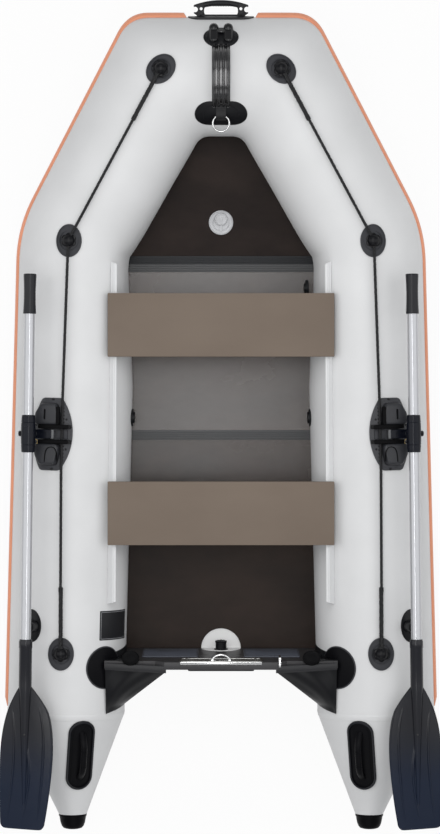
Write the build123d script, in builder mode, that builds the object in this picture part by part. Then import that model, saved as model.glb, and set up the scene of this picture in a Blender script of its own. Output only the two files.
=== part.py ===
from build123d import *
import os
from math import asin, cos, degrees, radians, sin, sqrt, tan

# An inflatable rowing boat with a plank floor, two sliding seats, a transom and a pair of oars.
#
# Frame: +Y to the bow, +X to starboard, +Z up, in millimetres. The origin lies on the ground, on the
# centre line, under the middle of the boat's length. The boat rests on its two side tubes.

os.makedirs("parts", exist_ok=True)

# Hull
overall_length = 2810.0  # front of the bow handle to the tips of the stern cones
tube_radius = 200.0
shoulder_half_width = 490.0  # tube centre line where the bow begins
stern_half_width = 531.0  # tube centre line at the stern seam
bow_half_width = 191.0  # tube centre line at the bow's front corners
bow_run = 565.0  # shoulder line to the bow tube's centre line, along the bow's own slope
bow_rise_angle = 8.7  # slope of the whole bow, degrees
cone_length = 348.0
cone_tip_half_width = 505.0
cone_tip_rise = 50.0  # how far a cone's tip lies above the tube's centre line
cap_length = 45.0
cap_radius = 45.0
cap_end_radius = 28.0
fabric = 2.5  # bottom sheet
keel_height = 6.0  # underside of the bottom sheet on the centre line, above the ground
bottom_slope = 6.1  # rise of the bottom sheet towards the tubes, degrees

# Floor boards and the aluminium profiles that join them
floor_top = 84.0
board_thickness = 10.0
board_seat = 10.0  # how far a board enters a profile
profile_wall = 2.0
profile_web = 4.0
narrow_profile = 34.0
wide_profile = 56.0
fore_profile_y = 529.0
mid_profile_y = -66.0
rear_profile_y = -362.0
bow_board_slope = 7.4
valve_hole_radius = 43.0
valve_hole_y = 672.0
drain_cut_radius = 69.0

# Transom
transom_from_seam = 204.0  # stern seam to the transom's inner face, at the floor
transom_thickness = 25.0
transom_rake = 3.0
transom_top = 395.0
transom_top_half = 190.0
transom_wing_top = 364.0
transom_wing_half = 392.0
clamp_plate_size = (280.0, 70.0, 3.0)
motor_pad_size = (222.0, 120.0, 5.0)

# Seats and their rails
seat_length = 759.0
seat_width = 213.0
seat_thickness = 16.0
seat_corner = 3.0
front_seat_y = 305.0
rear_seat_y = -326.0
rail_half_gap = 349.0  # centre line to a rail's inner edge
rail_width = 20.0
rail_head = 6.0
rail_web = 10.0
rail_front_y = 520.0
rail_rear_y = -633.0
seat_tube_clearance = 5.2
seat_rail_clearance = 1.0
seat_hook = 8.0  # thickness of the hooks under a seat

# Rowlocks and oars
rowlock_y = -62.0
rowlock_roll = 16.0  # how far round the tube the rowlock leans outboard, degrees
oar_yaw = 0.6  # a stowed oar's small angle to the centre line, degrees
shaft_radius = 17.5
shaft_height = 72.0  # shaft centre above the plane that touches the tube under the rowlock
swing_offset = 61.5  # rowlock's middle to the swing pin, outboard
swing_pin_radius = 6.0
hinge_pin_radius = 4.0
hinge_pin_height = 19.0
hinge_offset = -4.0
tongue_thickness = 14.0
tongue_width = 30.0
cheek_clearance = 1.0
collar_wall = 6.0  # thickness of the collar round the shaft, at its middle
collar_end_wall = 3.5
collar_length = 124.0
stem_radius = 15.0
running_fit = 0.05  # radial clearance of a pin or shaft that turns
face_gap = 0.3  # gap between faces that turn over each other
grip_sleeve = 5.5  # thickness of the grip round the shaft
grip_length = 133.0
grip_front = 531.0  # swing pin to the grip's end, towards the bow
blade_socket_start = 683.0  # swing pin to the blade's socket, towards the stern
blade_socket_depth = 60.0
blade_socket_wall = 4.0
blade_start = 835.0
blade_end = 1318.0
blade_thickness = 8.0

# Fittings
handle_reach = 57.0  # bow tube to the front of its handle
handle_thickness = 14.0
strake_half_height = 30.0
strake_depth = 10.0
strake_bow_gap = 120.0  # half of the gap in the strake at the bow
strake_end_from_seam = 22.0
rope_radius = 4.0
plate = 4.0  # thickness of the moulded plates glued to the tubes

collar_radius = shaft_radius + collar_wall
collar_end_radius = shaft_radius + collar_end_wall
grip_radius = shaft_radius + grip_sleeve
blade_socket_radius = shaft_radius + blade_socket_wall
half_length = overall_length / 2
slope = radians(bow_rise_angle)
forward_reach = (bow_run + tube_radius + handle_reach) * cos(slope)
forward_reach += handle_thickness / 2 * sin(slope)
shoulder_y = half_length - forward_reach
seam_y = -half_length + cap_length + cone_length
transom_y = seam_y + transom_from_seam

bow_plane = Plane(
    origin=(0, shoulder_y, tube_radius), x_dir=(1, 0, 0), z_dir=(0, -sin(slope), cos(slope))
)
tip_centre = Vector(cone_tip_half_width, -half_length + cap_length, tube_radius + cone_tip_rise)
seam_centre = Vector(stern_half_width, seam_y, tube_radius)
shoulder_centre = Vector(shoulder_half_width, shoulder_y, tube_radius)
bow_centre = bow_plane.from_local_coords(Vector(bow_half_width, bow_run, 0))
port_bow_centre = bow_plane.from_local_coords(Vector(-bow_half_width, bow_run, 0))

side_forward = (shoulder_centre - seam_centre).normalized()
shoulder_forward = (bow_centre - shoulder_centre).normalized()
up = Vector(0, 0, 1)
across = Vector(1, 0, 0)
side_outboard = side_forward.cross(up).normalized()
shoulder_mitre = side_forward + shoulder_forward
bow_mitre = shoulder_forward - across
port_bow_mitre = Vector(bow_mitre.X, -bow_mitre.Y, -bow_mitre.Z)


def save(builder, name):
    """Label a finished piece and write it."""
    builder.part.label = name
    export_step(builder.part, f"parts/{name}.step")


def save_port(builder, name):
    """Write the port side's copy of a starboard piece."""
    with BuildPart() as port:
        mirror(builder.part, about=Plane.YZ)
    save(port, name)


def run_along(start, end, start_face, end_face, radius=tube_radius):
    """A straight run of round tube, cut by a plane across each end."""
    along = (end - start).normalized()
    spare = 2 * radius
    with BuildPart() as run:
        with BuildSketch(Plane(origin=start - along * spare, z_dir=along)):
            Circle(radius)
        extrude(amount=(end - start).length + 2 * spare)
        split(bisect_by=Plane(origin=start, z_dir=start_face), keep=Keep.TOP)
        split(bisect_by=Plane(origin=end, z_dir=end_face), keep=Keep.BOTTOM)
    return run


def tube_middle(y):
    """The centre of the starboard side tube at a station along the boat."""
    share = (y - seam_y) / (shoulder_y - seam_y)
    return seam_centre + (shoulder_centre - seam_centre) * share


def side_skin(y, roll):
    """The plane touching the starboard side tube: X runs round the tube, outboard, and Y forward."""
    normal = up * cos(radians(roll)) + side_outboard * sin(radians(roll))
    return Plane(
        origin=tube_middle(y) + normal * tube_radius,
        x_dir=side_forward.cross(normal),
        z_dir=normal,
    )


def bow_skin(x, roll):
    """The plane touching the bow tube, rolled forward from the bow's upper face."""
    normal = bow_plane.z_dir * cos(radians(roll)) + bow_plane.y_dir * sin(radians(roll))
    middle = bow_plane.from_local_coords(Vector(x, bow_run, 0))
    return Plane(origin=middle + normal * tube_radius, x_dir=across, z_dir=normal)


# ---------------------------------------------------------------- buoyancy tubes
side_tube = run_along(seam_centre, shoulder_centre, side_forward, shoulder_mitre)
shoulder_tube = run_along(shoulder_centre, bow_centre, shoulder_mitre, bow_mitre)
bow_tube = run_along(bow_centre, port_bow_centre, bow_mitre, port_bow_mitre)

with BuildPart() as stern_cone:
    with BuildSketch(Plane(origin=seam_centre, z_dir=-side_forward)):
        Circle(tube_radius)
    with BuildSketch(Plane(origin=tip_centre, z_dir=(0, -1, 0))):
        Circle(cap_radius)
    loft()

with BuildPart() as stern_caps:
    with BuildSketch(Plane(origin=tip_centre, z_dir=(0, -1, 0))):
        Circle(cap_radius)
    with BuildSketch(Plane(origin=tip_centre - Vector(0, cap_length, 0), z_dir=(0, -1, 0))):
        Circle(cap_end_radius)
    loft()
    mirror(about=Plane.YZ)

save(side_tube, "starboard_side_tube")
save_port(side_tube, "port_side_tube")
save(shoulder_tube, "starboard_shoulder_tube")
save_port(shoulder_tube, "port_shoulder_tube")
save(bow_tube, "bow_tube")
save(stern_cone, "starboard_stern_cone")
save_port(stern_cone, "port_stern_cone")
save(stern_caps, "stern_end_caps")

# The tubes as one tool, which everything glued to them or trapped between them is cut to
with BuildPart() as tubes:
    add([side_tube.part, shoulder_tube.part])
    mirror(about=Plane.YZ)
    add(bow_tube.part)

# ---------------------------------------------------------------- bottom sheet
bottom_half = shoulder_half_width - tube_radius / 5
bottom_rise = bottom_half * tan(radians(bottom_slope))
bottom_section = [
    (0, keel_height),
    (bottom_half, keel_height + bottom_rise),
    (bottom_half, keel_height + bottom_rise + fabric),
    (0, keel_height + fabric),
    (-bottom_half, keel_height + bottom_rise + fabric),
    (-bottom_half, keel_height + bottom_rise),
]
fold = Plane(origin=shoulder_centre, z_dir=Vector(0, 1, 0) + bow_plane.y_dir)
fold_spare = 60.0
bottom_end_y = transom_y - transom_thickness - 3 * fabric

with BuildPart() as bottom:
    with BuildSketch(Plane.XZ.offset(-(shoulder_y + fold_spare))):
        Polygon(*bottom_section)
    extrude(amount=shoulder_y + fold_spare - bottom_end_y)
    split(bisect_by=fold, keep=Keep.BOTTOM)
    add(tubes.part, mode=Mode.SUBTRACT)
save(bottom, "bottom_sheet")

with BuildPart() as bow_bottom:
    with BuildSketch(
        Plane(
            origin=bow_plane.from_local_coords(Vector(0, -fold_spare, -tube_radius)),
            x_dir=across,
            z_dir=-bow_plane.y_dir,
        )
    ):
        Polygon(*bottom_section)
    extrude(amount=-(bow_run + fold_spare))
    with BuildSketch(bow_plane.offset(-2 * tube_radius)):
        Polygon(
            (shoulder_half_width, -fold_spare),
            (shoulder_half_width, 0),
            (bow_half_width, bow_run),
            (-bow_half_width, bow_run),
            (-shoulder_half_width, 0),
            (-shoulder_half_width, -fold_spare),
        )
    extrude(amount=2 * tube_radius, mode=Mode.INTERSECT)
    split(bisect_by=fold, keep=Keep.TOP)
    add(tubes.part, mode=Mode.SUBTRACT)
save(bow_bottom, "bow_bottom_sheet")

# ---------------------------------------------------------------- floor boards and profiles
board_half = shoulder_half_width - tube_radius / 3
transom_gap = 1.0
board_ends = {
    "aft_floor_board": (transom_y + transom_gap, rear_profile_y - profile_web / 2),
    "middle_floor_board": (rear_profile_y + profile_web / 2, mid_profile_y - profile_web / 2),
    "fore_floor_board": (
        mid_profile_y + profile_web / 2,
        fore_profile_y - wide_profile / 2 + board_seat,
    ),
}
boards = []
for name, (rear_y, front_y) in board_ends.items():
    with BuildPart() as board:
        with BuildSketch(Plane.XY.offset(floor_top)):
            with Locations((0, (rear_y + front_y) / 2)):
                Rectangle(2 * board_half, front_y - rear_y)
            with Locations((0, transom_y)):
                Circle(drain_cut_radius, mode=Mode.SUBTRACT)
        extrude(amount=-board_thickness)
        add(tubes.part, mode=Mode.SUBTRACT)
    save(board, name)
    boards.append(board.part)

bow_board_y = fore_profile_y + wide_profile / 2
board_lean = radians(bow_board_slope)
bow_board_plane = Plane(
    origin=(0, bow_board_y, floor_top),
    x_dir=across,
    z_dir=(0, -sin(board_lean), cos(board_lean)),
)
valve_along = (valve_hole_y - bow_board_y) / cos(board_lean)
bow_board_length = shoulder_y + bow_run - bow_board_y - tube_radius / 4
with BuildPart() as bow_board:
    with BuildSketch(bow_board_plane):
        Polygon(
            (board_half, 0),
            (board_half, shoulder_y - bow_board_y + tube_radius / 4),
            (bow_half_width, bow_board_length),
            (-bow_half_width, bow_board_length),
            (-board_half, shoulder_y - bow_board_y + tube_radius / 4),
            (-board_half, 0),
        )
        with Locations((0, valve_along)):
            Circle(valve_hole_radius, mode=Mode.SUBTRACT)
    extrude(amount=-board_thickness)
    add(tubes.part, mode=Mode.SUBTRACT)
save(bow_board, "bow_board")

profile_height = board_thickness + 2 * profile_wall
with BuildPart() as profiles:
    with BuildSketch(Plane.XY.offset(floor_top + profile_wall)):
        for y, width in (
            (rear_profile_y, narrow_profile),
            (mid_profile_y, narrow_profile),
            (fore_profile_y, wide_profile),
        ):
            with Locations((0, y)):
                Rectangle(2 * board_half, width)
    extrude(amount=-profile_height)
    add(boards, mode=Mode.SUBTRACT)
    add(tubes.part, mode=Mode.SUBTRACT)
save(profiles, "floor_profiles")

valve_seat = 4.0
with BuildPart() as keel_valve:
    with BuildSketch(bow_board_plane.offset(-board_thickness)):
        with Locations((0, valve_along)):
            Circle(valve_hole_radius)
    extrude(amount=board_thickness - valve_seat)
    with BuildSketch(bow_board_plane.offset(-board_thickness)):
        with Locations((0, valve_along)):
            Circle(valve_hole_radius / 2)
    extrude(amount=board_thickness)
save(keel_valve, "keel_valve")

# ---------------------------------------------------------------- transom and what braces it
pad_radius = 72.0
pad_roll = -36.5
pad_from_transom = -35.0
glued_depth = 40.0


def side_sleeve(proud):
    """The side tube's skin moved out, which gives a glued plate its even thickness."""
    return run_along(
        seam_centre, shoulder_centre, side_forward, side_forward, radius=tube_radius + proud
    ).part


with BuildPart() as transom_pads:
    with BuildSketch(side_skin(transom_y + pad_from_transom, pad_roll)):
        Circle(pad_radius)
    extrude(amount=glued_depth, both=True)
    add(side_sleeve(plate), mode=Mode.INTERSECT)
    add(tubes.part, mode=Mode.SUBTRACT)
    mirror(about=Plane.YZ)
save(transom_pads, "transom_pads")

lean = radians(transom_rake)
transom_plane = Plane(
    origin=(0, transom_y, floor_top), x_dir=across, z_dir=(0, -cos(lean), -sin(lean))
)


def up_transom(height):
    """How far up the raked transom a height above the ground lies."""
    return (height - floor_top) / cos(lean)


transom_foot = keel_height + fabric
transom_foot_rise = transom_wing_half * tan(radians(bottom_slope))
transom_slant = transom_top - transom_wing_top
with BuildPart() as transom:
    with BuildSketch(transom_plane):
        Polygon(
            (0, up_transom(transom_foot)),
            (transom_wing_half, up_transom(transom_foot + transom_foot_rise)),
            (transom_wing_half, up_transom(transom_wing_top)),
            (transom_top_half + transom_slant, up_transom(transom_wing_top)),
            (transom_top_half, up_transom(transom_top)),
            (-transom_top_half, up_transom(transom_top)),
            (-transom_top_half - transom_slant, up_transom(transom_wing_top)),
            (-transom_wing_half, up_transom(transom_wing_top)),
            (-transom_wing_half, up_transom(transom_foot + transom_foot_rise)),
        )
    extrude(amount=transom_thickness)
    add([tubes.part, bottom.part, transom_pads.part], mode=Mode.SUBTRACT)
save(transom, "transom_board")

clamp_width, clamp_height, clamp_thickness = clamp_plate_size
with BuildPart() as clamp_plate:
    with BuildSketch(transom_plane):
        with Locations((0, up_transom(transom_top) - clamp_height / 2)):
            RectangleRounded(clamp_width, clamp_height, clamp_height / 5)
    extrude(amount=-clamp_thickness)
save(clamp_plate, "inner_clamp_plate")

motor_width, motor_height, motor_thickness = motor_pad_size
with BuildPart() as motor_pad:
    with BuildSketch(transom_plane.offset(transom_thickness)):
        with Locations((0, up_transom(transom_top) - motor_height / 2)):
            RectangleRounded(motor_width, motor_height, motor_height / 12)
    extrude(amount=motor_thickness)
save(motor_pad, "outer_motor_pad")

transom_outer_y = transom_y - transom_thickness - (transom_wing_top - floor_top) * tan(lean)
gusset_sheet = 4.0
gusset_inner = Vector(transom_top_half, transom_outer_y - 1, transom_top - 7)
gusset_outer = Vector(transom_wing_half, transom_outer_y - 1, transom_wing_top - 2)
gusset_rear = Vector(shoulder_half_width - tube_radius * 0.7, seam_y + 27, tube_radius + 40)
gusset_plane = Plane(
    origin=gusset_inner,
    x_dir=gusset_outer - gusset_inner,
    z_dir=(gusset_rear - gusset_inner).cross(gusset_outer - gusset_inner),
)
gusset_reach = 0.3  # how far the sheet's corners run on into the tube before it is cut
with BuildPart() as gussets:
    with BuildSketch(gusset_plane):
        outer = gusset_plane.to_local_coords(gusset_outer + (gusset_outer - gusset_inner) * gusset_reach)
        rear = gusset_plane.to_local_coords(gusset_rear)
        Polygon((0, 0), (outer.X, outer.Y), (rear.X + glued_depth, rear.Y), (rear.X, rear.Y))
    extrude(amount=-gusset_sheet)
    add([tubes.part, transom_pads.part, transom.part], mode=Mode.SUBTRACT)
    mirror(about=Plane.YZ)
save(gussets, "transom_gussets")

drain_radius = 20.5
drain_length = 32.0
drain_height = 120.0
with BuildPart() as drain_valve:
    with BuildSketch(transom_plane):
        with Locations((0, up_transom(drain_height))):
            Circle(drain_radius)
    extrude(amount=-drain_length)
save(drain_valve, "drain_valve")

# ---------------------------------------------------------------- rub strakes
strake_end = tube_middle(seam_y + strake_end_from_seam)
strake_start = bow_plane.from_local_coords(Vector(strake_bow_gap, bow_run, 0))


def strake_run(start, end, start_face, end_face, outboard):
    """One run of the strake's section, which is a band on the outermost line of a tube."""
    along = (end - start).normalized()
    spare = 2 * tube_radius
    with BuildPart() as run:
        with BuildSketch(Plane(origin=start - along * spare, x_dir=outboard, z_dir=along)):
            Circle(tube_radius + strake_depth)
            Circle(tube_radius, mode=Mode.SUBTRACT)
            Rectangle(
                2 * tube_radius,
                2 * strake_half_height,
                align=(Align.MIN, Align.CENTER),
                mode=Mode.INTERSECT,
            )
        extrude(amount=(end - start).length + 2 * spare)
        split(bisect_by=Plane(origin=start, z_dir=start_face), keep=Keep.TOP)
        split(bisect_by=Plane(origin=end, z_dir=end_face), keep=Keep.BOTTOM)
    return run.part


with BuildPart() as strake:
    add(strake_run(strake_end, shoulder_centre, side_forward, shoulder_mitre, side_outboard))
    add(
        strake_run(
            shoulder_centre,
            bow_centre,
            shoulder_mitre,
            bow_mitre,
            shoulder_forward.cross(bow_plane.z_dir),
        )
    )
    add(strake_run(bow_centre, strake_start, bow_mitre, -across, bow_plane.y_dir))
    add(tubes.part, mode=Mode.SUBTRACT)
save(strake, "starboard_rub_strake")
save_port(strake, "port_rub_strake")

# ---------------------------------------------------------------- bow handle, fairlead and grab handle
handle_half = 92.0  # half width at the handle's two ears
handle_root_half = 80.0
handle_root = 10.0  # tube to where the handle's root starts to widen
handle_ear = (24.0, 32.0)  # tube to the rear and to the front of an ear
handle_slot = (114.0, 32.0)
handle_slot_radius = 13.0
handle_bar = 20.0
handle_hole = (67.0, 28.0)  # across and forward of the tube
handle_hole_radius = 5.0
handle_foot = (209.0, 80.0)
handle_foot_roll = 84.0
tube_front = bow_run + tube_radius
with BuildPart() as bow_handle:
    with BuildSketch(bow_plane):
        with BuildLine():
            nose = ThreePointArc(
                (-handle_half, tube_front + handle_ear[1]),
                (0, tube_front + handle_reach),
                (handle_half, tube_front + handle_ear[1]),
            )
            Polyline(
                nose @ 1,
                (handle_half, tube_front + handle_ear[0]),
                (handle_root_half, tube_front + handle_root),
                (handle_root_half, tube_front - handle_bar),
                (-handle_root_half, tube_front - handle_bar),
                (-handle_root_half, tube_front + handle_root),
                (-handle_half, tube_front + handle_ear[0]),
                nose @ 0,
            )
        make_face()
        with Locations((0, tube_front + handle_reach - handle_bar - handle_slot[1] / 2)):
            RectangleRounded(*handle_slot, handle_slot_radius, mode=Mode.SUBTRACT)
        for side in (-1, 1):
            with Locations((side * handle_hole[0], tube_front + handle_hole[1])):
                Circle(handle_hole_radius, mode=Mode.SUBTRACT)
    extrude(amount=handle_thickness / 2, both=True)
    with BuildSketch(bow_skin(0, handle_foot_roll).offset(plate / 2)):
        SlotOverall(*handle_foot)
    extrude(amount=-plate * 4)
    add(tubes.part, mode=Mode.SUBTRACT)
save(bow_handle, "bow_handle")

fairlead_roll = 41.0
fairlead_size = (117.0, 86.0)
cheek_size = (27.0, 68.0, 26.0)
cheek_offset = 24.0
cheek_forward = 4.0
cheek_corner = cheek_size[0] / 2 - 1
roller_radius = 6.0
roller_height = 8.0
fairlead_skin = bow_skin(0, fairlead_roll)
with BuildPart() as fairlead:
    with BuildSketch(fairlead_skin.offset(plate)):
        Ellipse(fairlead_size[0] / 2, fairlead_size[1] / 2)
    extrude(amount=-4 * plate)
    with BuildSketch(fairlead_skin.offset(-plate)):
        with Locations((cheek_offset, cheek_forward), (-cheek_offset, cheek_forward)):
            RectangleRounded(cheek_size[0], cheek_size[1], cheek_corner)
    extrude(amount=cheek_size[2] + plate)
    roller_centre = fairlead_skin.from_local_coords((0, cheek_size[1] / 4, roller_height))
    with BuildSketch(Plane(origin=roller_centre, z_dir=across)):
        Circle(roller_radius)
    extrude(amount=cheek_offset, both=True)
    add(tubes.part, mode=Mode.SUBTRACT)
save(fairlead, "bow_fairlead")

grab_front_roll = 30.0
grab_rear_roll = -26.0
grab_rise = 48.0
grab_thickness = 10.0
grab_width = 60.0
grab_foot = 4.0  # how much of the bow tube's turn each foot takes, degrees
grab_middle_roll = (grab_front_roll + grab_rear_roll) / 2


def off_bow_tube(roll, height):
    """A point of the bow tube's round section, as forward and up in the bow's own plane."""
    reach = tube_radius + height
    return (bow_run + reach * sin(radians(roll)), reach * cos(radians(roll)))


bow_section = Plane(origin=bow_plane.origin, x_dir=bow_plane.y_dir, z_dir=across)
with BuildPart() as grab_handle:
    with BuildSketch(bow_section):
        with BuildLine():
            outer = ThreePointArc(
                off_bow_tube(grab_front_roll, 0),
                off_bow_tube(grab_middle_roll, grab_rise),
                off_bow_tube(grab_rear_roll, 0),
            )
            inner = ThreePointArc(
                off_bow_tube(grab_front_roll - grab_foot, 0),
                off_bow_tube(grab_middle_roll, grab_rise - grab_thickness),
                off_bow_tube(grab_rear_roll + grab_foot, 0),
            )
            Line(outer @ 0, inner @ 0)
            Line(outer @ 1, inner @ 1)
        make_face()
    extrude(amount=grab_width / 2, both=True)
    add([tubes.part, fairlead.part], mode=Mode.SUBTRACT)
save(grab_handle, "bow_grab_handle")

patch_roll = -37.5
patch_size = (176.0, 100.0)
loop_size = (33.0, 36.0)
ring_radius = 27.5
ring_wire = 2.5
ring_droop = 15.0
ring_from_edge = 29.0  # patch's rear edge to the ring's centre
ring_height = 22.0
loop_depth = 17.0
patch_skin = bow_skin(0, patch_roll)
ring_centre = patch_skin.from_local_coords((0, -patch_size[1] / 2 + ring_from_edge, ring_height))
droop = radians(ring_droop)
ring_plane = Plane(origin=ring_centre, x_dir=across, z_dir=(0, -sin(droop), cos(droop)))
with BuildPart() as tow_ring:
    with BuildSketch(Plane(origin=ring_centre, x_dir=across, z_dir=ring_plane.y_dir)):
        with Locations((ring_radius, 0)):
            Circle(ring_wire)
    revolve(axis=Axis(ring_centre, ring_plane.z_dir))
save(tow_ring, "tow_ring")

with BuildPart() as tow_patch:
    with BuildSketch(patch_skin):
        SlotOverall(*patch_size)
    extrude(amount=glued_depth, both=True)
    bow_sleeve = run_along(bow_centre, port_bow_centre, -across, -across, tube_radius + plate / 2)
    add(bow_sleeve.part, mode=Mode.INTERSECT)
    with BuildSketch(patch_skin.offset(plate / 4)):
        with Locations((0, -patch_size[1] / 2 + ring_from_edge + ring_radius)):
            Rectangle(*loop_size)
    extrude(amount=loop_depth)
    add([tubes.part, tow_ring.part, grab_handle.part], mode=Mode.SUBTRACT)
save(tow_patch, "tow_patch")

# ---------------------------------------------------------------- seats and rails
seat_gap = tube_middle(rail_front_y).X - seat_length / 2
seat_bottom = tube_radius + sqrt((tube_radius + seat_tube_clearance) ** 2 - seat_gap**2)
rail_top = seat_bottom - seat_rail_clearance
rail_root = tube_radius / 2
rail_outer = rail_half_gap + rail_width
with BuildPart() as rails:
    with BuildSketch(Plane.XZ.offset(-rail_front_y)):
        Polygon(
            (rail_half_gap, rail_top),
            (rail_outer, rail_top),
            (rail_outer, rail_top - rail_root),
            (rail_outer - rail_web, rail_top - rail_root),
            (rail_outer - rail_web, rail_top - rail_head),
            (rail_half_gap, rail_top - rail_head),
        )
    extrude(amount=rail_front_y - rail_rear_y)
    add(tubes.part, mode=Mode.SUBTRACT)
    mirror(about=Plane.YZ)
save(rails, "seat_rails")

hook_length = 50.0
hook_spread = 60.0
hook_outer = rail_half_gap - seat_rail_clearance
hook_lip = rail_outer - rail_web - 4 * seat_rail_clearance
hook_top = rail_top - rail_head - seat_rail_clearance
for name, seat_y in (("front_seat", front_seat_y), ("rear_seat", rear_seat_y)):
    with BuildPart() as seat:
        with BuildSketch(Plane.XY.offset(seat_bottom)):
            with Locations((0, seat_y)):
                RectangleRounded(seat_length, seat_width, seat_corner)
        extrude(amount=seat_thickness)
        for y in (seat_y - hook_spread, seat_y + hook_spread):
            with BuildSketch(Plane.XZ.offset(-y)):
                Polygon(
                    (hook_outer, seat_bottom),
                    (hook_outer, hook_top),
                    (hook_lip, hook_top),
                    (hook_lip, hook_top - seat_hook),
                    (hook_outer - seat_hook, hook_top - seat_hook),
                    (hook_outer - seat_hook, seat_bottom),
                )
                mirror(about=Plane.YZ)
            extrude(amount=hook_length / 2, both=True)
    save(seat, name)

# ---------------------------------------------------------------- rowlocks
rowlock = side_skin(rowlock_y, rowlock_roll)
rowlock_side = Plane(origin=rowlock.origin, x_dir=rowlock.x_dir, z_dir=-rowlock.y_dir)
rowlock_half_length = 125.0
rowlock_plate = 6.0
rowlock_bulge = 67.0  # rowlock's middle line to the base's inboard edge, at its widest
rowlock_inner_end = 35.0
rowlock_outer_end = 47.0
hump_height = 30.0
hump_taper = 12.0
hump_inner = 28.0  # rowlock's middle line to a hump's inboard side
hump_outer = (57.0, 52.0, 38.0)  # and to its outboard side: at the channel, part way and at its end
hump_inner_end = 18.0
hump_shoulder = (0.5, 0.6)  # share of the half length where the sides turn in
hump_end = 0.88
channel_half = tongue_width / 2 + cheek_clearance
cheek_wall = 6.0
with BuildPart() as rowlock_bases:
    with BuildSketch(rowlock):
        with BuildLine():
            inboard = ThreePointArc(
                (-rowlock_inner_end, rowlock_half_length),
                (-rowlock_bulge, 0),
                (-rowlock_inner_end, -rowlock_half_length),
            )
            Polyline(
                inboard @ 1,
                (rowlock_outer_end, -rowlock_half_length),
                (rowlock_bulge, -rowlock_half_length / 2),
                (rowlock_bulge, rowlock_half_length / 2),
                (rowlock_outer_end, rowlock_half_length),
                inboard @ 0,
            )
        make_face()
    extrude(amount=glued_depth, both=True)
    add(side_sleeve(rowlock_plate), mode=Mode.INTERSECT)
    with BuildSketch(rowlock.offset(-rowlock_plate)):
        hump = Polygon(
            (-hump_inner, channel_half),
            (hump_outer[0], channel_half),
            (hump_outer[1], rowlock_half_length * hump_shoulder[1]),
            (hump_outer[2], rowlock_half_length * hump_end),
            (-hump_inner_end, rowlock_half_length * hump_end),
            (-hump_inner, rowlock_half_length * hump_shoulder[0]),
        )
        mirror(hump, about=Plane.XZ)
    extrude(amount=hump_height + rowlock_plate, taper=hump_taper)
    with BuildSketch(rowlock_side):
        with Locations((hinge_offset, hinge_pin_height)):
            Circle(hinge_pin_radius)
    extrude(amount=channel_half + 2 * cheek_wall, both=True)
    add(tubes.part, mode=Mode.SUBTRACT)
    mirror(about=Plane.YZ)
save(rowlock_bases, "rowlock_bases")

tongue_bottom = hinge_pin_height - tongue_thickness / 2
tongue_top = hinge_pin_height + tongue_thickness / 2
tongue_end = swing_offset + stem_radius
swing_pin_length = 20.0
with BuildPart() as tongue:
    with BuildSketch(rowlock_side):
        Polygon(
            (hinge_offset, tongue_bottom),
            (tongue_end, tongue_bottom),
            (tongue_end, tongue_top),
            (hinge_offset, tongue_top),
        )
        with Locations((hinge_offset, hinge_pin_height)):
            Circle(tongue_thickness / 2)
            Circle(hinge_pin_radius + running_fit, mode=Mode.SUBTRACT)
    extrude(amount=tongue_width / 2, both=True)
    with BuildSketch(rowlock.offset(tongue_top)):
        with Locations((swing_offset, 0)):
            Circle(swing_pin_radius)
    extrude(amount=swing_pin_length)
save(tongue, "starboard_rowlock_arm")
save_port(tongue, "port_rowlock_arm")

# ---------------------------------------------------------------- oars
pivot = rowlock.from_local_coords((swing_offset, 0, shaft_height))
yaw = radians(oar_yaw)
level_forward = Vector(-sin(yaw), cos(yaw), 0)
oar_forward = (level_forward - rowlock.z_dir * level_forward.dot(rowlock.z_dir)).normalized()
oar_plane = Plane(origin=pivot, x_dir=oar_forward.cross(rowlock.z_dir), z_dir=rowlock.z_dir)


def across_oar(along):
    """The plane square to the oar's shaft, at a distance forward of the swing pin."""
    return Plane(
        origin=oar_plane.from_local_coords((0, along, 0)),
        x_dir=oar_plane.x_dir,
        z_dir=oar_plane.y_dir,
    )


screw_radius = 4.0
screw_knob_radius = 9.5
screw_knob_depth = 7.5
with BuildPart() as collar:
    with BuildSketch(oar_plane):
        with BuildLine():
            barrel = ThreePointArc(
                (collar_end_radius, -collar_length / 2),
                (collar_radius, 0),
                (collar_end_radius, collar_length / 2),
            )
            Polyline(barrel @ 1, (0, collar_length / 2), (0, -collar_length / 2), barrel @ 0)
        make_face()
    revolve(axis=Axis(pivot, oar_plane.y_dir))
    with BuildSketch(oar_plane.offset(tongue_top + face_gap - shaft_height)):
        Circle(stem_radius)
    extrude(amount=shaft_height - tongue_top - face_gap)
    with BuildSketch(oar_plane.offset(tongue_top + face_gap - shaft_height)):
        Circle(swing_pin_radius + running_fit)
    extrude(amount=swing_pin_length + face_gap, mode=Mode.SUBTRACT)
    with BuildSketch(across_oar(-collar_length)):
        Circle(shaft_radius + running_fit)
    extrude(amount=2 * collar_length, mode=Mode.SUBTRACT)
    with BuildSketch(Plane(origin=pivot, z_dir=oar_plane.x_dir)):
        Circle(screw_radius)
    extrude(amount=collar_radius + 1, mode=Mode.SUBTRACT)
save(collar, "starboard_oar_collar")
save_port(collar, "port_oar_collar")

with BuildPart() as thumbscrew:
    with BuildSketch(Plane(origin=pivot, z_dir=oar_plane.x_dir).offset(shaft_radius + face_gap)):
        Circle(screw_radius)
    extrude(amount=collar_radius + screw_knob_depth - shaft_radius - face_gap)
    with BuildSketch(Plane(origin=pivot, z_dir=oar_plane.x_dir).offset(collar_radius)):
        Circle(screw_knob_radius)
    extrude(amount=screw_knob_depth)
save(thumbscrew, "starboard_thumbscrew")
save_port(thumbscrew, "port_thumbscrew")

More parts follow.
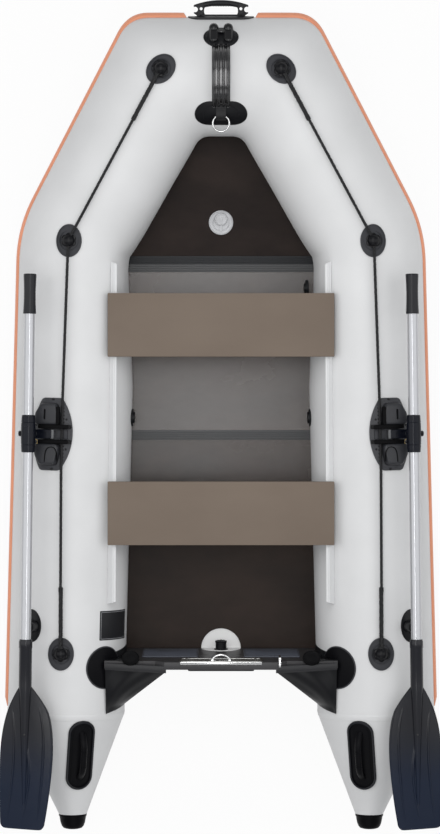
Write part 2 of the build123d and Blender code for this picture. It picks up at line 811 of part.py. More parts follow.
grip_wall = 5.0
shaft_length = grip_front - grip_wall + blade_socket_start + blade_socket_depth
with BuildPart() as shaft:
    with BuildSketch(across_oar(grip_front - grip_wall)):
        Circle(shaft_radius)
    extrude(amount=-shaft_length)
save(shaft, "starboard_oar_shaft")
save_port(shaft, "port_oar_shaft")

with BuildPart() as grip:
    with BuildSketch(across_oar(grip_front)):
        Circle(grip_radius)
    extrude(amount=-grip_length)
    fillet(grip.edges().group_by(Axis(pivot, oar_plane.y_dir))[-1], radius=grip_radius / 2)
    with BuildSketch(across_oar(grip_front - grip_wall)):
        Circle(shaft_radius)
    extrude(amount=-grip_length, mode=Mode.SUBTRACT)
save(grip, "starboard_oar_grip")
save_port(grip, "port_oar_grip")

blade_outer = 80.0  # shaft line to the blade's outboard edge, as stowed
blade_outer_end = 77.0
blade_outer_neck = (62.0, 100.0)  # a point of the outboard edge: from the shaft line, and past the neck
blade_inner = 95.0
blade_inner_end = 66.0
blade_inner_neck = (78.0, 90.0)
blade_neck = 17.0
spine_end_radius = 6.0
spine_length = 380.0
level_side = oar_forward.cross(up).normalized()
blade_plane = Plane(origin=pivot, x_dir=level_side, z_dir=level_side.cross(oar_forward))
blade_wide = blade_start + 213.0  # swing pin to the blade's widest place
with BuildPart() as blade:
    with BuildSketch(blade_plane):
        with BuildLine():
            outboard = Spline(
                (blade_neck, -blade_start),
                (blade_outer_neck[0], -blade_start - blade_outer_neck[1]),
                (blade_outer, -blade_wide),
                (blade_outer_end, -blade_end),
            )
            inboard_edge = Spline(
                (-blade_neck, -blade_start),
                (-blade_inner_neck[0], -blade_start - blade_inner_neck[1]),
                (-blade_inner, -blade_wide),
                (-blade_inner_end, -blade_end),
            )
            Line(outboard @ 0, inboard_edge @ 0)
            Line(outboard @ 1, inboard_edge @ 1)
        make_face()
    extrude(amount=blade_thickness / 2, both=True)
    with BuildSketch(across_oar(-blade_start)):
        Circle(blade_socket_radius)
    with BuildSketch(across_oar(-blade_start - spine_length)):
        Circle(spine_end_radius)
    loft()
    with BuildSketch(across_oar(-blade_socket_start)):
        Circle(blade_socket_radius)
    extrude(amount=blade_socket_start - blade_start)
    with BuildSketch(across_oar(-blade_socket_start)):
        Circle(shaft_radius)
    extrude(amount=-blade_socket_depth, mode=Mode.SUBTRACT)
save(blade, "starboard_oar_blade")
save_port(blade, "port_oar_blade")

rest_along = -645.0
rest_post_radius = 18.0
rest_gap = 5.0
rest_roll = 35.0
rest_size = (82.0, 112.0)
rest_y = rowlock_y + rest_along
with BuildPart() as oar_rests:
    with BuildSketch(side_skin(rest_y, rest_roll)):
        Ellipse(rest_size[0] / 2, rest_size[1] / 2)
    extrude(amount=glued_depth, both=True)
    add(side_sleeve(plate), mode=Mode.INTERSECT)
    with BuildSketch(oar_plane.offset(-shaft_radius - rest_gap)):
        with Locations((0, rest_along)):
            Circle(rest_post_radius)
    extrude(amount=-2 * shaft_height)
    add(tubes.part, mode=Mode.SUBTRACT)
    mirror(about=Plane.YZ)
save(oar_rests, "oar_rests")

# ---------------------------------------------------------------- lifelines and their holders
holder_size = (87.0, 110.0)
knob_radius = 27.0
knob_height = 22.0
rope_height = 14.0  # rope's centre above the tube at a holder
fore_holder_roll = 5.2
fore_holder_from_shoulder = 6.0
aft_holder_roll = 2.8
aft_holder_from_seam = 216.0
bow_holder_forward = 28.0  # bow tube's centre line to the holder
bow_holder_outboard = 8.0  # bow's corner to the holder
bow_holder_turn = 45.0  # long side towards the rope
fore_holder = side_skin(shoulder_y - fore_holder_from_shoulder, fore_holder_roll)
aft_holder = side_skin(seam_y + aft_holder_from_seam, aft_holder_roll)
bow_holder_roll = degrees(asin(bow_holder_forward / tube_radius))
bow_holder = bow_skin(bow_half_width + bow_holder_outboard, bow_holder_roll)
with BuildPart() as holders:
    for holder, turn in ((bow_holder, bow_holder_turn), (fore_holder, 0), (aft_holder, 0)):
        with BuildSketch(holder.offset(plate)):
            Ellipse(holder_size[0] / 2, holder_size[1] / 2, rotation=turn)
        extrude(amount=-4 * plate)
        with BuildSketch(holder):
            Circle(knob_radius)
        extrude(amount=knob_height)
    add(tubes.part, mode=Mode.SUBTRACT)
    mirror(about=Plane.YZ)
save(holders, "lifeline_holders")

with BuildPart() as lifelines:
    holder_planes = (bow_holder, fore_holder, aft_holder)
    knots = [holder.from_local_coords((0, 0, rope_height)) for holder in holder_planes]
    for start, end in zip(knots, knots[1:]):
        with BuildSketch(Plane(origin=start, z_dir=end - start)):
            Circle(rope_radius)
        extrude(amount=(end - start).length)
    add(holders.part, mode=Mode.SUBTRACT)
    mirror(about=Plane.YZ)
save(lifelines, "lifelines")

# ---------------------------------------------------------------- stern handles and air valves
cone_axis = (tip_centre - seam_centre).normalized()
stern_handle_from_seam = 0.366  # share of the cone's length
stern_handle_size = (92.0, 250.0)
stern_bar_radius = 10.0
stern_bar_half = 78.0
stern_bar_height = 46.0
stern_bar_depth = 16.0
stern_bar_bend = 6.0  # how much further in the bar's underside bends
stern_handle_roll = -20.0
cone_top_radius = tube_radius + (cap_radius - tube_radius) * stern_handle_from_seam
stern_middle = seam_centre + (tip_centre - seam_centre) * stern_handle_from_seam
stern_roll = radians(stern_handle_roll)
stern_normal = up * cos(stern_roll) + side_outboard * sin(stern_roll)
cone_fall = (tube_radius - cap_radius) / cone_length
stern_lie = (cone_axis - stern_normal * cone_fall).normalized()
stern_face = (stern_normal - stern_lie * stern_normal.dot(stern_lie)).normalized()
stern_plane = Plane(
    origin=stern_middle + stern_normal * cone_top_radius,
    x_dir=stern_face.cross(stern_lie),
    z_dir=stern_face,
)
stern_section = Plane(origin=stern_plane.origin, x_dir=stern_lie, z_dir=stern_plane.x_dir)
with BuildPart() as stern_handles:
    with BuildSketch(stern_plane.offset(plate)):
        SlotOverall(stern_handle_size[1], stern_handle_size[0], rotation=90)
    extrude(amount=-5 * plate)
    with BuildSketch(stern_section):
        with BuildLine():
            bar_top = Spline(
                (-stern_bar_half, 0),
                (-stern_bar_half / 2, stern_bar_height),
                (stern_bar_half / 2, stern_bar_height),
                (stern_bar_half, 0),
            )
            bar_under = Spline(
                (-stern_bar_half + 2 * stern_bar_radius, 0),
                (-stern_bar_half / 2 + stern_bar_bend, stern_bar_height - stern_bar_depth),
                (stern_bar_half / 2 - stern_bar_bend, stern_bar_height - stern_bar_depth),
                (stern_bar_half - 2 * stern_bar_radius, 0),
            )
            Line(bar_top @ 0, bar_under @ 0)
            Line(bar_top @ 1, bar_under @ 1)
        make_face()
    extrude(amount=stern_bar_radius, both=True)
    add([stern_cone.part, side_tube.part], mode=Mode.SUBTRACT)
    mirror(about=Plane.YZ)
save(stern_handles, "stern_handles")

valve_radius = 30.0
valve_cap_radius = 18.0
valve_cap_height = 10.0
valve_roll = -88.0
fore_valve_y = 441.0
middle_valve_y = 0.0


def add_air_valve(y):
    """An air valve's flange and cap on the inner side of the starboard tube."""
    with BuildPart() as valve:
        with BuildSketch(side_skin(y, valve_roll).offset(plate)):
            Circle(valve_radius)
        extrude(amount=-3 * plate)
        with BuildSketch(side_skin(y, valve_roll)):
            Circle(valve_cap_radius)
        extrude(amount=valve_cap_height)
        add(tubes.part, mode=Mode.SUBTRACT)
    return valve.part


with BuildPart() as air_valves:
    add([add_air_valve(fore_valve_y), add_air_valve(middle_valve_y)])
    mirror(add_air_valve(middle_valve_y), about=Plane.YZ)
save(air_valves, "air_valves")
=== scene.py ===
from contextlib import contextmanager
from math import asin, atan2, cos, exp, pi, radians, sin, sqrt, tan

import bmesh
import bpy
from mathutils import Matrix, Vector
from mathutils.bvhtree import BVHTree


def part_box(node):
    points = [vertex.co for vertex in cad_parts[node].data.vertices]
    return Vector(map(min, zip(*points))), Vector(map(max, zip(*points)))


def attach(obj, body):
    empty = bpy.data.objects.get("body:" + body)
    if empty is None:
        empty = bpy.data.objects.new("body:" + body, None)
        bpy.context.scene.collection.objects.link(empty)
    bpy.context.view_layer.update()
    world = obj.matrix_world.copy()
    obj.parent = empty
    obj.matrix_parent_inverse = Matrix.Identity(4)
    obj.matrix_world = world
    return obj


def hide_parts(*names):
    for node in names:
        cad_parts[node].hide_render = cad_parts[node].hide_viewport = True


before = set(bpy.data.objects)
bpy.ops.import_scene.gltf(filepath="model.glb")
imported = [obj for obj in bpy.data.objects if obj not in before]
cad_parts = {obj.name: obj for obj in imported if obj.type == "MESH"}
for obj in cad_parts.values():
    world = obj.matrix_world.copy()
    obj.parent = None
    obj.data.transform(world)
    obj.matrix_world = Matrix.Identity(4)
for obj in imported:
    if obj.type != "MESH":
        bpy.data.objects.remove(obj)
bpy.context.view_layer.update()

# ------------------------------------------------------------------ the hull's own lines, in metres
HALF_LENGTH = 1.405
TUBE_RADIUS = 0.2
SHOULDER_HALF = 0.49
STERN_HALF = 0.531
BOW_HALF = 0.191
BOW_RUN = 0.565
BOW_RISE = radians(8.7)
HANDLE_REACH = 0.057
HANDLE_THICKNESS = 0.014
CONE_LENGTH = 0.348
CAP_LENGTH = 0.045
CAP_RADIUS = 0.045
TIP_HALF = 0.505
TIP_RISE = 0.05
FLOOR_TOP = 0.084

X_DIR = Vector((1, 0, 0))
Y_DIR = Vector((0, 1, 0))
UP = Vector((0, 0, 1))
forward_reach = (BOW_RUN + TUBE_RADIUS + HANDLE_REACH) * cos(BOW_RISE) + HANDLE_THICKNESS / 2 * sin(BOW_RISE)
SHOULDER_Y = HALF_LENGTH - forward_reach
SEAM_Y = -HALF_LENGTH + CAP_LENGTH + CONE_LENGTH
BOW_UP = Vector((0, -sin(BOW_RISE), cos(BOW_RISE)))
BOW_FORWARD = Vector((0, cos(BOW_RISE), sin(BOW_RISE)))

tip_centre = Vector((TIP_HALF, -HALF_LENGTH + CAP_LENGTH, TUBE_RADIUS + TIP_RISE))
seam_centre = Vector((STERN_HALF, SEAM_Y, TUBE_RADIUS))
shoulder_centre = Vector((SHOULDER_HALF, SHOULDER_Y, TUBE_RADIUS))
shoulder_middle = Vector((0, SHOULDER_Y, TUBE_RADIUS))
bow_centre = shoulder_middle + BOW_FORWARD * BOW_RUN + X_DIR * BOW_HALF
bow_middle = Vector((0, bow_centre.y, bow_centre.z))
side_forward = (shoulder_centre - seam_centre).normalized()
side_out = side_forward.cross(UP).normalized()
shoulder_forward = (bow_centre - shoulder_centre).normalized()


# ------------------------------------------------------------------ finishes
def fed(tree, kind, inputs=None, output=0, **settings):
    """A new node of a tree, with links or plain values on its inputs; returns one of its outputs."""
    node = tree.nodes.new(kind)
    for key, value in settings.items():
        setattr(node, key, value)
    for socket, value in (inputs or {}).items():
        if isinstance(value, bpy.types.NodeSocket):
            tree.links.new(value, node.inputs[socket])
        else:
            node.inputs[socket].default_value = value
    return node.outputs[output]


def scaled(colour, factor):
    return tuple(min(1.0, c * factor) for c in colour)


class Finish:
    """A material with its Principled shader, and the ways in which its surface varies."""

    def __init__(self, name, colour, roughness, metallic=0.0, gloss=0.5):
        self.material = bpy.data.materials.new(name)
        self.material.use_nodes = True
        self.tree = self.material.node_tree
        self.shader = self.tree.nodes["Principled BSDF"]
        self.shader.inputs["Base Color"].default_value = (*colour, 1)
        self.shader.inputs["Roughness"].default_value = roughness
        self.shader.inputs["Metallic"].default_value = metallic
        self.shader.inputs["Specular IOR Level"].default_value = gloss

    def noise(self, scale, detail=3.0, stretch=(1, 1, 1)):
        """Noise on the piece's own coordinates."""
        place = fed(self.tree, "ShaderNodeTexCoord", output="Object")
        mapped = fed(self.tree, "ShaderNodeMapping", {"Vector": place, "Scale": stretch})
        return fed(self.tree, "ShaderNodeTexNoise", {"Vector": mapped, "Scale": scale, "Detail": detail})

    def weave(self, scale):
        """The over and under of a fine cloth, as two crossed waves on the piece's own coordinates."""
        place = fed(self.tree, "ShaderNodeTexCoord", output="Object")
        wave = {"Vector": place, "Scale": scale, "Distortion": 0.4}
        waves = {index: fed(self.tree, "ShaderNodeTexWave", wave, "Fac", wave_type="BANDS", bands_direction=axis)
                 for index, axis in enumerate("XY")}
        return fed(self.tree, "ShaderNodeMath", waves, operation="MULTIPLY")

    def vary_colour(self, height, dark, light, low=0.35, high=0.65):
        """Lets the colour wander between two tones as the height does."""
        tone = fed(self.tree, "ShaderNodeValToRGB", {"Fac": height})
        for stop, position, colour in zip(tone.node.color_ramp.elements, (low, high), (dark, light)):
            stop.position = position
            stop.color = (*colour, 1)
        self.tree.links.new(tone, self.shader.inputs["Base Color"])

    def vary_roughness(self, height, low, high):
        """Lets the roughness wander between two values."""
        spread = fed(self.tree, "ShaderNodeMapRange", {"Value": height, "To Min": low, "To Max": high})
        self.tree.links.new(spread, self.shader.inputs["Roughness"])

    def emboss(self, height, strength, distance):
        """Relief on the shader's normal, on top of any that is there."""
        relief = {"Height": height, "Strength": strength, "Distance": distance}
        normal = self.shader.inputs["Normal"]
        if normal.is_linked:
            relief["Normal"] = normal.links[0].from_socket
        self.tree.links.new(fed(self.tree, "ShaderNodeBump", relief), normal)


def coated_fabric(name, colour, roughness, gloss=0.4):
    """Smooth coated cloth: a faint weave, and slightly uneven coating."""
    made = Finish(name, colour, roughness, gloss=gloss)
    blotch = made.noise(5.0, 4.0)
    made.vary_colour(blotch, scaled(colour, 0.97), scaled(colour, 1.02))
    made.vary_roughness(made.noise(14.0), roughness - 0.05, roughness + 0.07)
    made.emboss(made.weave(260.0), 0.1, 0.0002)
    made.emboss(blotch, 0.18, 0.004)
    return made.material


def moulded(name, colour, roughness, grain=700.0, depth=0.25, gloss=0.3):
    """Moulded plastic or rubber with a fine grain and slightly rubbed highlights."""
    made = Finish(name, colour, roughness, gloss=gloss)
    broad = made.noise(22.0, 4.0)
    made.vary_colour(broad, scaled(colour, 0.94), scaled(colour, 1.08))
    made.vary_roughness(broad, roughness - 0.02, roughness + 0.03)
    made.emboss(made.noise(grain, 2.0), depth, 0.0002)
    return made.material


def even_rubber(name, colour, roughness):
    """Extruded rubber of one even colour with a fine grain."""
    made = Finish(name, colour, roughness, gloss=0.3)
    made.vary_colour(made.noise(9.0), scaled(colour, 0.97), scaled(colour, 1.02))
    made.emboss(made.noise(620.0, 2.0), 0.1, 0.0003)
    return made.material


def metal(name, colour, roughness, stretch=(1, 1, 1), grain=240.0, bare=1.0, gloss=0.5):
    """Bare or anodised metal with fine lines along one direction."""
    made = Finish(name, colour, roughness, bare, gloss)
    lines = made.noise(grain, 3.0, stretch)
    made.vary_roughness(lines, roughness - 0.03, roughness + 0.03)
    made.vary_colour(made.noise(30.0), scaled(colour, 0.97), colour)
    made.emboss(lines, 0.04, 0.0001)
    return made.material


def drawn_tube(name, colour, bare):
    """Smooth drawn metal tube, a little unevenly polished."""
    made = Finish(name, colour, 0.17, bare)
    made.vary_roughness(made.noise(9.0), 0.15, 0.2)
    return made.material


def faced_plywood(name, dark, light, roughness, mesh_relief, gloss):
    """Film-faced plywood: cloudy brown film, faint wood figure, and a pressed wire-mesh relief."""
    made = Finish(name, dark, roughness, gloss=gloss)
    cloud = made.noise(3.4, 6.0, (1.0, 1.7, 1.0))
    made.vary_colour(cloud, dark, light, 0.38, 0.66)
    made.vary_roughness(cloud, roughness - 0.08, roughness + 0.1)
    made.emboss(made.noise(18.0, 5.0, (1.0, 9.0, 1.0)), 0.12, 0.001)
    made.emboss(made.weave(90.0), mesh_relief, 0.0006)
    return made.material


def bare_edge(name, dark, light):
    """The cut edge of plywood: thin plies, one above the other."""
    made = Finish(name, dark, 0.7)
    plies = made.noise(6.0, 2.0, (1.0, 1.0, 110.0))
    made.vary_colour(plies, dark, light, 0.42, 0.58)
    made.emboss(plies, 0.2, 0.0006)
    return made.material


def blade_plastic(name, neck, end):
    """Glossy moulded plastic that goes from one tone at the neck to another towards the end."""
    made = Finish(name, (0.01, 0.013, 0.022), 0.3, gloss=0.3)
    place = fed(made.tree, "ShaderNodeTexCoord", output="Object")
    along = fed(made.tree, "ShaderNodeSeparateXYZ", {"Vector": place}, "Y")
    fade = fed(made.tree, "ShaderNodeMapRange", {"Value": along, "From Min": -1.02, "From Max": -1.24},
               interpolation_type="SMOOTHSTEP")
    made.vary_colour(fade, neck, end, 0.0, 1.0)
    made.vary_roughness(made.noise(26.0), 0.2, 0.28)
    made.emboss(made.noise(420.0, 2.0), 0.08, 0.0004)
    return made.material


ALONG_X = (0.05, 1.0, 1.0)
ALONG_PROFILE = (0.04, 1.0, 1.0)
tube_grey = coated_fabric("tube_grey", (0.64, 0.642, 0.645), 0.42)
rail_grey = coated_fabric("rail_grey", (0.66, 0.665, 0.67), 0.45)
bottom_grey = coated_fabric("bottom_grey", (0.42, 0.42, 0.425), 0.5)
patch_grey = coated_fabric("patch_grey", (0.5, 0.5, 0.5), 0.5)
sleeve_grey = coated_fabric("sleeve_grey", (0.84, 0.84, 0.835), 0.6, 0.05)
patch_black = coated_fabric("patch_black", (0.006, 0.0062, 0.0075), 0.36, 0.18)
# The fold is the flap's own black cloth, given a lighter, glossier tone: painted sheen.
tuck_painted_sheen = coated_fabric("tuck_painted_sheen", (0.016, 0.016, 0.018), 0.38, 0.35)
webbing_black = coated_fabric("webbing_black", (0.014, 0.014, 0.015), 0.7)
label_black = coated_fabric("label_black", (0.014, 0.014, 0.016), 0.45, 0.25)
label_line = coated_fabric("label_line", (0.3, 0.305, 0.32), 0.5)
rope_black = coated_fabric("rope_black", (0.0065, 0.0065, 0.0075), 0.5, 0.35)
thread_grey = coated_fabric("thread_grey", (0.06, 0.06, 0.065), 0.7)
# The floor boards share one film-faced plywood. The fore board's lighter tone is painted sheen, and the aft and
# bow boards' darker tones are painted shade.
fore_film_painted_sheen = faced_plywood("fore_film_painted_sheen", (0.046, 0.036, 0.032), (0.077, 0.061, 0.054), 0.24, 0.2, 0.6)
floor_brown = faced_plywood("floor_brown", (0.021, 0.0138, 0.0108), (0.041, 0.028, 0.0224), 0.24, 0.2, 0.46)
aft_film_painted_shade = faced_plywood("aft_film_painted_shade", (0.019, 0.0125, 0.01), (0.033, 0.0225, 0.0182), 0.36, 0.2, 0.1)
bow_film_painted_shade = faced_plywood("bow_film_painted_shade", (0.016, 0.011, 0.0098), (0.031, 0.022, 0.019), 0.36, 0.2, 0.06)
seat_taupe = faced_plywood("seat_taupe", (0.162, 0.128, 0.102), (0.176, 0.14, 0.112), 0.52, 0.06, 0.1)
transom_black = faced_plywood("transom_black", (0.036, 0.035, 0.037), (0.054, 0.052, 0.055), 0.38, 0.05, 0.3)
ply_edge = bare_edge("ply_edge", (0.03, 0.022, 0.016), (0.085, 0.06, 0.04))
panel_grey = moulded("panel_grey", (0.092, 0.101, 0.126), 0.45, gloss=0.2)
fitting_black = moulded("fitting_black", (0.0062, 0.0065, 0.008), 0.34, 700.0, 0.15, 0.2)
fitting_grey = moulded("fitting_grey", (0.036, 0.037, 0.042), 0.45, 700.0, 0.2, 0.2)
barrel_grey = moulded("barrel_grey", (0.085, 0.087, 0.092), 0.35, 500.0, 0.1, 0.5)
glossy_black = moulded("glossy_black", (0.005, 0.005, 0.006), 0.18, 900.0, 0.04, 0.45)
band_black = moulded("band_black", (0.007, 0.007, 0.008), 0.2, 900.0, 0.0, 1.0)
grip_black = moulded("grip_black", (0.0075, 0.008, 0.011), 0.34, 700.0, 0.1, 0.3)
cap_black = moulded("cap_black", (0.0035, 0.0035, 0.004), 0.42, 500.0, 0.1, 0.05)
rowlock_grey = moulded("rowlock_grey", (0.04, 0.041, 0.046), 0.45, 700.0, 0.12, 0.3)
hump_grey = moulded("hump_grey", (0.024, 0.025, 0.029), 0.38, 700.0, 0.12, 0.35)
collar_navy = moulded("collar_navy", (0.004, 0.005, 0.0095), 0.26, 800.0, 0.03, 0.18)
knob_black = moulded("knob_black", (0.0032, 0.0032, 0.0045), 0.3, 900.0, 0.02, 0.2)
pad_black = moulded("pad_black", (0.0036, 0.0036, 0.0046), 0.42, 700.0, 0.08, 0.07)
# A dark tone for hollows. Laid on top where a recess or hole would be, it is painted shade.
hollow_painted_shade = moulded("hollow_painted_shade", (0.02, 0.02, 0.02), 0.5)
valve_white = moulded("valve_white", (0.56, 0.565, 0.58), 0.38, 400.0, 0.05)
strake_orange = even_rubber("strake_orange", (0.77, 0.305, 0.175), 0.5)
blade_navy = blade_plastic("blade_navy", (0.013, 0.0135, 0.017), (0.0075, 0.013, 0.029))
aluminium_shaft = drawn_tube("aluminium_shaft", (0.46, 0.465, 0.485), 0.46)
bright_steel = metal("bright_steel", (0.72, 0.72, 0.72), 0.17)
soft_steel = metal("soft_steel", (0.36, 0.36, 0.35), 0.3)
warm_steel = metal("warm_steel", (0.104, 0.101, 0.095), 0.42, ALONG_X, 320.0, 0.2)
# A darker copy of the profile's metal, used as painted shade.
profile_painted_shade = metal("profile_painted_shade", (0.019, 0.02, 0.022), 0.34, ALONG_PROFILE, 300.0, 0.15, 0.15)
profile_mid = metal("profile_mid", (0.055, 0.056, 0.058), 0.36, ALONG_PROFILE, 300.0, 0.2, 0.3)
brass = metal("brass", (0.62, 0.44, 0.18), 0.3)


# ------------------------------------------------------------------ mesh helpers
@contextmanager
def edited(mesh):
    """The mesh opened for changes, which are then written back to it."""
    work = bmesh.new()
    work.from_mesh(mesh)
    yield work
    work.to_mesh(mesh)
    work.free()


def as_mesh(work, name, *materials):
    """A new mesh from finished bmesh work."""
    mesh = bpy.data.meshes.new(name)
    work.to_mesh(mesh)
    work.free()
    for material in materials:
        mesh.materials.append(material)
    return mesh


def placed_object(name, mesh):
    made = bpy.data.objects.new(name, mesh)
    bpy.context.scene.collection.objects.link(made)
    return made


def add_piece(name, mesh, body, slot, *replaced, smooth_angle=35.0):
    """Puts a finished mesh in the scene, riding on its body; edges sharper than the angle stay crisp."""
    piece = placed_object(name, mesh)
    with edited(mesh) as work:
        for face in work.faces:
            face.smooth = True
        for edge in work.edges:
            edge.smooth = len(edge.link_faces) != 2 or edge.calc_face_angle(0.0) < radians(smooth_angle)
    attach(piece, body)
    if replaced:
        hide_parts(*replaced)
    return piece


def grid_mesh(name, rings, material, capped=(), looped=False, closed_round=True):
    """A skin over rows of points; capped names the rows that are closed, such as (0, -1) for both ends."""
    work = bmesh.new()
    rows = [[work.verts.new(point) for point in ring] for ring in rings]
    count = len(rows[0])
    for lower, upper in zip(rows, rows[1:] + (rows[:1] if looped else [])):
        for i in range(count if closed_round else count - 1):
            j = (i + 1) % count
            work.faces.new((lower[i], lower[j], upper[j], upper[i]))
    for end in capped:
        row = rows[end]
        centre = work.verts.new(sum((v.co for v in row), Vector()) / count)
        for i in range(count):
            work.faces.new((row[i], centre, row[(i + 1) % count]))
    bmesh.ops.recalc_face_normals(work, faces=work.faces)
    return as_mesh(work, name, material)


def mirrored(mesh, name):
    """The port side's copy of a starboard mesh."""
    other = mesh.copy()
    other.name = name
    with edited(other) as work:
        bmesh.ops.scale(work, vec=(-1, 1, 1), verts=work.verts)
        bmesh.ops.reverse_faces(work, faces=work.faces)
    return other


def joined(name, meshes):
    """Several meshes as one, each with its own finish."""
    work = bmesh.new()
    materials = []
    for mesh in meshes:
        first = len(work.faces)
        work.from_mesh(mesh)
        work.faces.ensure_lookup_table()
        for material in mesh.materials:
            if material not in materials:
                materials.append(material)
        slots = [materials.index(material) for material in mesh.materials]
        for face in work.faces[first:]:
            face.material_index = slots[face.material_index]
    return as_mesh(work, name, *materials)


def both_sides(name, mesh, body, slot, *replaced, smooth_angle=35.0):
    """A starboard mesh and its port copy as one piece on one body."""
    whole = joined(name, [mesh, mirrored(mesh, name + "_port")])
    return add_piece(name, whole, body, slot, *replaced, smooth_angle=smooth_angle)


def settled(made, *helpers):
    """The plain mesh that an object's modifiers make; the object and its helpers are then removed."""
    bpy.context.view_layer.update()
    result = bpy.data.meshes.new_from_object(made.evaluated_get(bpy.context.evaluated_depsgraph_get()))
    for spent in (made, *helpers):
        bpy.data.objects.remove(spent)
    return result


def baked(mesh, *modifiers):
    """The mesh after its modifiers, each given as (type, {setting: value})."""
    holder = placed_object("holder", mesh)
    for kind, settings in modifiers:
        modifier = holder.modifiers.new(kind.lower(), kind)
        for key, value in settings.items():
            setattr(modifier, key, value)
    return settled(holder)


def rounded(mesh, edge, segments=2, angle=30.0):
    """The mesh with its sharp edges rounded."""
    return baked(mesh, ("BEVEL", {"width": edge, "segments": segments, "limit_method": "ANGLE",
                                  "angle_limit": radians(angle), "use_clamp_overlap": True}))


def carved(mesh, *cutters):
    """The mesh with other shapes cut out of it."""
    holder = placed_object("holder", mesh)
    tools = [placed_object("tool", cutter) for cutter in cutters]
    for tool in tools:
        cut = holder.modifiers.new("cut", "BOOLEAN")
        cut.operation = "DIFFERENCE"
        cut.solver = "EXACT"
        cut.object = tool
    return settled(holder, *tools)


def softened(node, material, width, segments=2):
    """A CAD node's own shape with its sharp edges rounded."""
    work = bmesh.new()
    work.from_mesh(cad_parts[node].data)
    bmesh.ops.remove_doubles(work, verts=work.verts, dist=1e-5)
    bmesh.ops.dissolve_limit(work, angle_limit=radians(1.0), verts=work.verts, edges=work.edges,
                             delimit={"SEAM"})
    return rounded(as_mesh(work, node + "_soft", material), width, segments)


def paint(node, material):
    """Gives a CAD node that keeps its own shape its finish."""
    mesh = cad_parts[node].data
    mesh.materials.clear()
    mesh.materials.append(material)


# ------------------------------------------------------------------ places on the hull and simple made shapes
ENDS = (0, -1)  # what grid_mesh takes for a skin that is closed at its first and its last row


def frame_of(origin, x_dir, y_dir, z_dir):
    """The matrix that puts a piece made at the origin into its place."""
    place = Matrix((x_dir, y_dir, z_dir)).transposed().to_4x4()
    place.translation = origin
    return place


def shift(x, y, z=0.0):
    return Matrix.Translation((x, y, z))


def spin(angle, axis):
    return Matrix.Rotation(angle, 4, axis)


def side_middle(y):
    """The middle of the starboard side tube at one place along the boat."""
    return seam_centre.lerp(shoulder_centre, (y - SEAM_Y) / (SHOULDER_Y - SEAM_Y))


def side_place(y, roll):
    """On the starboard tube: X round the tube and outboard, Y forward, Z off the skin."""
    normal = UP * cos(roll) + side_out * sin(roll)
    return frame_of(side_middle(y) + normal * TUBE_RADIUS, side_forward.cross(normal), side_forward, normal)


def bow_place(x, roll):
    """On the bow tube: X to starboard, Y round the tube and forward, Z off the skin."""
    normal = BOW_UP * cos(roll) + BOW_FORWARD * sin(roll)
    return frame_of(bow_middle + X_DIR * x + normal * TUBE_RADIUS, X_DIR, normal.cross(X_DIR), normal)


def put(mesh, place):
    """Moves a mesh made at the origin into its place."""
    mesh.transform(place)
    return mesh


def angles_round(count):
    return [2 * pi * i / count for i in range(count)]


def oval_outline(half_x, half_y, count=56):
    return [(half_x * cos(angle), half_y * sin(angle)) for angle in angles_round(count)]


def round_rings(profile, segments, lobes=None):
    """Rings round Z from (radius, height) pairs; lobes(radius, angle) draws a ring in and out."""
    rings = []
    for radius, height in profile:
        reaches = [(radius * (lobes(radius, angle) if lobes else 1), angle) for angle in angles_round(segments)]
        rings.append([Vector((reach * cos(angle), reach * sin(angle), height)) for reach, angle in reaches])
    return rings


def turned_shape(name, profile, material, place=Matrix(), segments=48, lobes=None):
    """A shape turned round its own Z from (radius, height) pairs."""
    return put(grid_mesh(name, round_rings(profile, segments, lobes), material, ENDS), place)


def cut_plate(name, outline, low, high, material, edge=0.0015, segments=2):
    """A flat piece cut to an outline in X and Y, with its edges rounded."""
    work = bmesh.new()
    face = work.faces.new([work.verts.new((x, y, low)) for x, y in outline])
    bmesh.ops.recalc_face_normals(work, faces=[face])
    grown = bmesh.ops.extrude_face_region(work, geom=[face])
    top = [v for v in grown["geom"] if isinstance(v, bmesh.types.BMVert)]
    bmesh.ops.translate(work, verts=top, vec=(0, 0, high - low))
    bmesh.ops.recalc_face_normals(work, faces=work.faces)
    mesh = as_mesh(work, name, material)
    return rounded(mesh, edge, segments) if edge > 0 else mesh


def sliced(mesh, axis, step):
    """Cuts a flat piece's faces into strips across X or Y, so that it can bend."""
    direction = Y_DIR if axis else X_DIR
    with edited(mesh) as work:
        reach = [v.co[axis] for v in work.verts]
        cut = min(reach) + step
        while cut < max(reach) - 1e-4:
            bmesh.ops.bisect_plane(work, geom=work.verts[:] + work.edges[:] + work.faces[:], dist=1e-6,
                                   plane_co=direction * cut, plane_no=direction)
            cut += step
    return mesh


def wrapped(mesh, step=0.006, radius=TUBE_RADIUS, along_y=False):
    """Bends a flat piece onto the tube: its X, or its Y, runs round the tube."""
    axis = 1 if along_y else 0
    sliced(mesh, axis, step)
    for vertex in mesh.vertices:
        angle = vertex.co[axis] / radius
        height = vertex.co.z
        vertex.co[axis] = (radius + height) * sin(angle)
        vertex.co.z = (radius + height) * cos(angle) - radius
    return mesh


def draped_on(mesh, place, skin):
    """Lays a flat piece on the tube's skin: each point keeps its own height above the skin below it."""
    into = place.inverted()
    local = [into @ v.co for v in skin.vertices]
    tree = BVHTree.FromPolygons(local, [p.vertices[:] for p in skin.polygons])
    for vertex in mesh.vertices:
        hit = tree.ray_cast(Vector((vertex.co.x, vertex.co.y, 0.06)), -UP)[0]
        if hit is not None:
            vertex.co.z += hit.z
    return mesh


